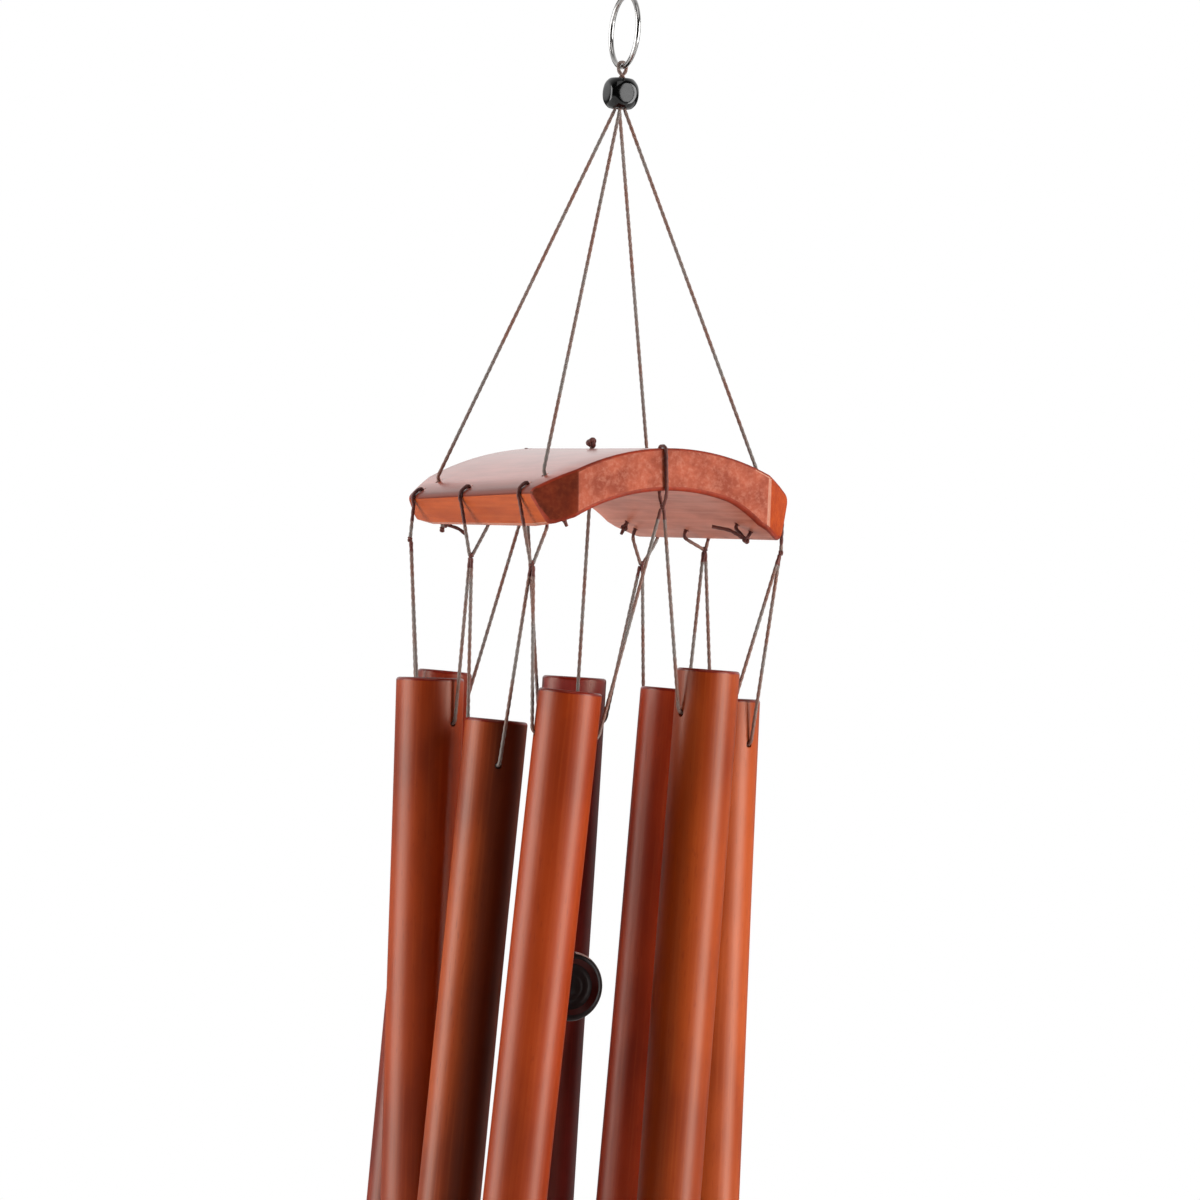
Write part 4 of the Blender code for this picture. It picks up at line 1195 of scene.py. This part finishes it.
def striker_drum():
    points, faces = lathe(drum_profile(), segments=96)
    spin = Matrix.Rotation(STRIKER_TURN, 3, "Z")
    points = [spin @ Vector((p.x, p.z, p.y)) for p in points]
    matrix = Matrix.Translation(centre + UP * STRIKER_MIDDLE)
    names = ("striker_line", "striker", "striker")
    made = shape("striker_drum", points, faces, drum_looks, *names, matrix)
    cut(made, *drill(STRIKER_RADIUS + DRILL_PAST, HOLE_RADIUS, segments=20))
    axle = spin @ Vector((0, 1, 0))
    level = spin @ Vector((1, 0, 0))
    for face in made.data.polygons:
        spot = face.center
        out = (spot - axle * spot.dot(axle)).length
        facing = face.normal.dot(axle)
        on_slope = DISH_RADIUS < out < CREST_RADIUS and abs(facing) > 0.3
        on_rim = out > CREST_RADIUS and HIGHLIGHT_LEAN[0] < facing < HIGHLIGHT_LEAN[1]
        turn = math.atan2(spot.z, spot.dot(level))
        highlighted = on_rim and HIGHLIGHT_STRETCH[0] < turn < HIGHLIGHT_STRETCH[1]
        face.material_index = HIGHLIGHT if highlighted else SLOPE if on_slope else LACQUERED
    smooth(made)
    return made


drum = striker_drum()
print("striker faces", len(drum.data.polygons))

# %% [markdown]
# ## Bead and ring
# The bead is a ball with six flats and a wide hole, black and glossy. The ring is bent from
# bright drawn steel wire. Both are small but mirror the room, so they need enough faces to
# reflect cleanly. The flats come from holding each coordinate of a ball to a limit, which leaves
# a soft shoulder that a Boolean wouldn't.

# %% Bead
BEAD_FLATS = 12.2 * MM
BEAD_BALL = 7.4 * MM
BEAD_BORE = 3.5 * MM
BEAD_TURN = math.radians(-6)
FLAT_EASE = 0.5 * MM
BEAD_ROWS = 48


def eased(value, limit, ease):
    """A coordinate held to a limit, with a soft shoulder."""
    over = abs(value) - (limit - ease)
    if over <= 0:
        return value
    return math.copysign(limit - ease * math.exp(-over / ease), value)


def flatted_bead():
    turns = [math.pi * i / BEAD_ROWS for i in range(BEAD_ROWS + 1)]
    ball = [(BEAD_BALL * math.sin(a), BEAD_BALL * math.cos(a)) for a in turns]
    points, faces = lathe(ball, segments=96)
    spin = Matrix.Rotation(BEAD_TURN, 3, "Z")
    points = [spin @ Vector([eased(v, BEAD_FLATS / 2, FLAT_EASE) for v in p]) for p in points]
    matrix = Matrix.Translation(UP * (BEAD_TOP + BEAD_LOW) / 2)
    made = shape("flatted_bead", points, faces, [bead_look], "bead", "gather_bead", "bead", matrix)
    cut(made, *drill(BEAD_FLATS, BEAD_BORE, segments=40))
    smooth(made, edge=40)
    return made


bead = flatted_bead()
print("bead faces", len(bead.data.polygons))

# %% Steel ring
RING_RADIUS = 14.0 * MM
WIRE_RADIUS = 1.0 * MM
RING_MIDDLE = -13.0 * MM
RING_TURN = math.radians(-7)
WIRE_SIDES = 20
WIRE_WEAR = 3 * MM


def steel_wire(name):
    """Drawn steel wire: bright, with a little wear in its tone and gloss."""
    made, tree, shader = new_material(name, 0.13, Metallic=1.0)
    wear = pattern(tree, [WIRE_WEAR] * 3, 1.0)
    colour = laid_over(tree, "#9C9A98", "#B4B2B0", wear, 0.0, 1.0)
    dress(tree, shader, colour, gloss=(wear, 0.14, 0.2))
    return made


turns = circle(WIRE_SIDES)
wire = [(RING_RADIUS + WIRE_RADIUS * math.cos(a), WIRE_RADIUS * math.sin(a)) for a in turns]
points, faces = lathe(wire, segments=144, closed=True)
spin = Matrix.Rotation(RING_TURN, 3, "Z")
points = [spin @ Vector((p.z, p.y, p.x)) + UP * RING_MIDDLE for p in points]
looks = [steel_wire("drawn steel wire")]
ring = shape("steel_ring", points, faces, looks, "ring", "hanging_ring", "ring")
smooth(ring)
print("ring faces", len(ring.data.polygons))

# %% Ring tie
TIE_SLANT = 0.25 * MM
TIE_BEND = 1.2 * MM
LEG_SPREAD = 2.0 * MM
LEG_IN_BEAD = 1.6 * MM
TIE_STEPS = 12

wire_low = RING_MIDDLE - RING_RADIUS
wrap = WIRE_RADIUS + CORD_LIFT
over = []
for step in range(TIE_STEPS + 1):
    a = math.pi * step / TIE_STEPS
    over.append(Vector((wrap * math.cos(a), TIE_SLANT * math.cos(a), wire_low + wrap * math.sin(a))))
legs = []
for sign in (1, -1):
    leg = [(0, sign * LEG_SPREAD, BEAD_TOP - LEG_IN_BEAD), (0, sign * LEG_SPREAD, BEAD_TOP)]
    leg.append((sign * wrap, sign * LEG_SPREAD / 2, wire_low - wrap))
    legs.append([Vector(p) for p in leg])
line = [spin @ p for p in bent(legs[0] + over + legs[1][::-1], TIE_BEND)]
cord("tie_cord", line, "tie", "ring_tie")
print("ring tie, mm", round(length_of(line) * 1000))

# %% [markdown]
# ## Wind sail
# The sail is a thin slat cut from the same cane wall, an oval with softened edges and one hole
# for its cord loop. Ovals of growing size are stacked from one face over the edge to the other,
# which gives the softened edge without a bevel.

# %% Sail slat
SAIL_TOP = -652.65 * MM
SAIL_WIDTH = 56.0 * MM
SAIL_HEIGHT = 92.0 * MM
SAIL_THICK = 5.0 * MM
SAIL_POWER = 2.4  # 2 is an ellipse, more is squarer
SAIL_SIDES = 96
SAIL_FACE = 0.90  # share of its size that each flat face has
SAIL_EDGE = ((1.0, SAIL_FACE), (0.93, 0.965), (0.72, 0.99), (0.4, 1.0))  # share of depth, of size
SAIL_HOLE_DROP = 7.0 * MM
SAIL_MOUTH = 2.2 * MM
SAIL_DRILL = 4.0 * MM
SAIL_THROAT = 1.6 * MM


def sail_oval(depth, share):
    """One oval of the slat, at a share of its thickness and of its size."""
    oval = []
    for a in circle(SAIL_SIDES):
        a += math.pi / SAIL_SIDES
        x, z = [math.copysign(abs(v) ** (2 / SAIL_POWER), v) for v in (math.cos(a), math.sin(a))]
        oval.append(Vector((x * SAIL_WIDTH * share, depth * SAIL_THICK, z * SAIL_HEIGHT * share)) / 2)
    return oval


def sail_slat():
    inside = [SAIL_FACE * share for share in (0.25, 0.5, 0.75)]
    front = [(-1.0, share) for share in inside] + [(-depth, share) for depth, share in SAIL_EDGE]
    rows = front + [(-depth, share) for depth, share in reversed(front)]
    points = [p for depth, share in rows for p in sail_oval(depth, share)]
    faces = grid(len(rows), SAIL_SIDES, closed=True)
    last = len(points) - SAIL_SIDES
    for k in range(SAIL_SIDES):
        n = (k + 1) % SAIL_SIDES
        faces.append((len(points), n, k))
        faces.append((len(points) + 1, last + k, last + n))
    points += [Vector((0, -SAIL_THICK / 2, 0)), Vector((0, SAIL_THICK / 2, 0))]
    looks = [bamboo_skin("stained bamboo slat", "#A23E14", "#7C2606", "#B85A2C")]
    matrix = Matrix.Translation(centre + UP * (SAIL_TOP - SAIL_HEIGHT / 2))
    made = shape("sail_slat", points, faces, looks, "sail", "sail", "bamboo", matrix)
    points, faces = drill(SAIL_DRILL, HOLE_RADIUS, 24, SAIL_MOUTH, SAIL_THROAT)
    hole = SAIL_HEIGHT / 2 - SAIL_HOLE_DROP
    cut(made, [Vector((p.x, p.z, p.y + hole)) for p in points], faces)
    smooth(made)
    return made


sail = sail_slat()
print("sail faces", len(sail.data.polygons))

# %% Sail cord and loop
SAIL_KNOT_RISE = 6.5 * MM
SAIL_LOOP_GAP = 0.9 * MM
SAIL_LOOP_BEND = 1.5 * MM

knot = SAIL_TOP + SAIL_KNOT_RISE
line = [centre + UP * (stop - KNOT_RADIUS - FIT * 0.3), centre + UP * (knot + KNOT_RADIUS * 0.8)]
length = hang("sail_drop_cord", line, "sail_line", "sail_cord")
aside = SAIL_THICK / 2 + CORD_LIFT
half = [(SAIL_LOOP_GAP, knot), (aside, SAIL_TOP + MM), (aside, SAIL_TOP - SAIL_HOLE_DROP)]
line = [centre + Vector((0, *p)) for p in half + [(-y, z) for y, z in reversed(half)]]
line = bent(line, SAIL_LOOP_BEND)
cord("sail_loop_cord", line, "sail", "sail_loop", knots=[(centre + UP * knot, away)])
print("sail cord and loop, mm", round(length * 1000), round(length_of(line) * 1000))

# %% [markdown]
# ## Studio
# The picture has a pure white ground and two tall soft lights, one on each side, which draw a
# soft band down both flanks of every tube. A small light puts the bright spot on the bead, and a
# weak one from above fills the plate. The white wall behind lights the edges, and its foot is
# dim. The room in front is dim too, so the fronts of the tubes stay deep and the steel ring has
# something dark to mirror.

# %% Lights
TUBES_MIDDLE = Vector((0, 0, -0.36))
# name, angle from the camera's direction, height, distance, width, tallness, power
LIGHTS = (
    ("left_light", -83, -0.25, 1.5, 1.0, 1.6, 31),
    ("right_light", 67, -0.25, 1.5, 0.7, 1.6, 33),
    ("bead_light", 46, 0.1, 1.5, 0.26, 0.7, 3),
    ("top_light", 0, 1.3, 0.9, 1.2, 1.2, 6),
)


def softbox(name, swing, height, distance, wide, tall, power):
    angle = VIEW_AZIMUTH + math.radians(swing)
    spot = Vector((math.sin(angle) * distance, -math.cos(angle) * distance, height))
    data = bpy.data.lights.new(name, "AREA")
    data.shape = "RECTANGLE"
    data.size = wide
    data.size_y = tall
    data.energy = power
    made = bpy.data.objects.new(name, data)
    made.location = spot
    made.rotation_mode = "QUATERNION"
    made.rotation_quaternion = (TUBES_MIDDLE - spot).to_track_quat("-Z", "Y")
    scene.collection.objects.link(made)


for row in LIGHTS:
    softbox(*row)
print("lights", len(LIGHTS))

# %% World
WALL = 0.5  # light from the white wall behind the chime
WALL_FOOT = 0.06  # its share of that light below the horizon
ROOM = 0.03  # the dim room in front
BEHIND = (-0.3, 0.6)  # the wall's light grows as a direction points away from the camera
HORIZON = (0.01, 0.12)  # and as it rises
WHITE = "#FFFFFF"


def sight(tree):
    """Two values: 1 for what the camera sees straight or through glass, and 1 for what is mirrored."""
    ray = node(tree, "ShaderNodeLightPath").outputs
    straight = {0: ray["Is Camera Ray"], 1: ray["Is Transmission Ray"]}
    return node(tree, "ShaderNodeMath", straight, operation="MAXIMUM"), ray["Is Glossy Ray"]


scene.world = bpy.data.worlds.new("white ground")
scene.world.use_nodes = True
tree = scene.world.node_tree
tree.nodes.clear()
look = node(tree, "ShaderNodeTexCoord").outputs["Generated"]
depth = node(tree, "ShaderNodeVectorMath", {0: look, 1: tuple(away)}, operation="DOT_PRODUCT")
height = node(tree, "ShaderNodeSeparateXYZ", {0: look}).outputs["Z"]
far = {"Value": depth.outputs["Value"], "From Min": BEHIND[0], "From Max": BEHIND[1]}
behind = node(tree, "ShaderNodeMapRange", far)
high = {"Value": height, "From Min": HORIZON[0], "From Max": HORIZON[1], "To Min": WALL_FOOT}
above = node(tree, "ShaderNodeMapRange", high)
wall = node(tree, "ShaderNodeMath", {0: behind, 1: above}, operation="MULTIPLY")
strength = node(tree, "ShaderNodeMapRange", {"Value": wall, "To Min": ROOM, "To Max": WALL})
lit = node(tree, "ShaderNodeBackground", {"Color": WHITE, "Strength": strength})
ground = node(tree, "ShaderNodeBackground", {"Color": WHITE, "Strength": 1.0})
straight, glossy = sight(tree)
mirrored = node(tree, "ShaderNodeMath", {0: glossy, 1: wall}, operation="MULTIPLY")
shown = node(tree, "ShaderNodeMath", {0: straight, 1: mirrored}, operation="MAXIMUM")
chosen = node(tree, "ShaderNodeMixShader", {0: shown, 1: lit, 2: ground})
node(tree, "ShaderNodeOutputWorld", {"Surface": chosen})
print("wall light", WALL, "room light", ROOM)

# %% Floor
FLOOR_DROP = 0.86
FLOOR_RADIUS = 2.4
FLOOR_SIDES = 96
FADE = (0.3, 1.5)  # from here to there the floor's shadow fades into the white ground


def studio_paper(name):
    """Matt white paper, which fades into the white ground where the camera sees it."""
    made, tree, shader = new_material(name, 0.9)
    shader.inputs["Base Color"].default_value = linear("#EDEBE8")
    spot = node(tree, "ShaderNodeTexCoord").outputs["Object"]
    flat = node(tree, "ShaderNodeVectorMath", {0: spot, 1: (1, 1, 0)}, operation="MULTIPLY")
    far = node(tree, "ShaderNodeVectorMath", {0: flat}, operation="LENGTH").outputs["Value"]
    fade = node(tree, "ShaderNodeMapRange", {"Value": far, "From Min": FADE[0], "From Max": FADE[1]})
    straight, glossy = sight(tree)
    shown = node(tree, "ShaderNodeMath", {0: straight, 1: glossy}, operation="MAXIMUM")
    both = node(tree, "ShaderNodeMath", {0: fade, 1: shown}, operation="MULTIPLY")
    white = node(tree, "ShaderNodeEmission", {"Color": WHITE, "Strength": 1.0})
    mixed = node(tree, "ShaderNodeMixShader", {0: both, 1: shader, 2: white})
    tree.links.new(mixed.outputs[0], tree.nodes["Material Output"].inputs["Surface"])
    return made


turns = circle(FLOOR_SIDES)
rim = [(FLOOR_RADIUS * math.cos(a), FLOOR_RADIUS * math.sin(a), -FLOOR_DROP) for a in turns]
floor = solid("floor", rim, [tuple(range(FLOOR_SIDES))])
floor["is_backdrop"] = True
floor.data.materials.append(studio_paper("pale studio paper"))
print("floor at", -FLOOR_DROP)

# %% [markdown]
# ## Finish
# The Standard view shows colours as written, and the box round this model is found.

# %% View and sizes
scene.view_settings.view_transform = "Standard"
low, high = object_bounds()
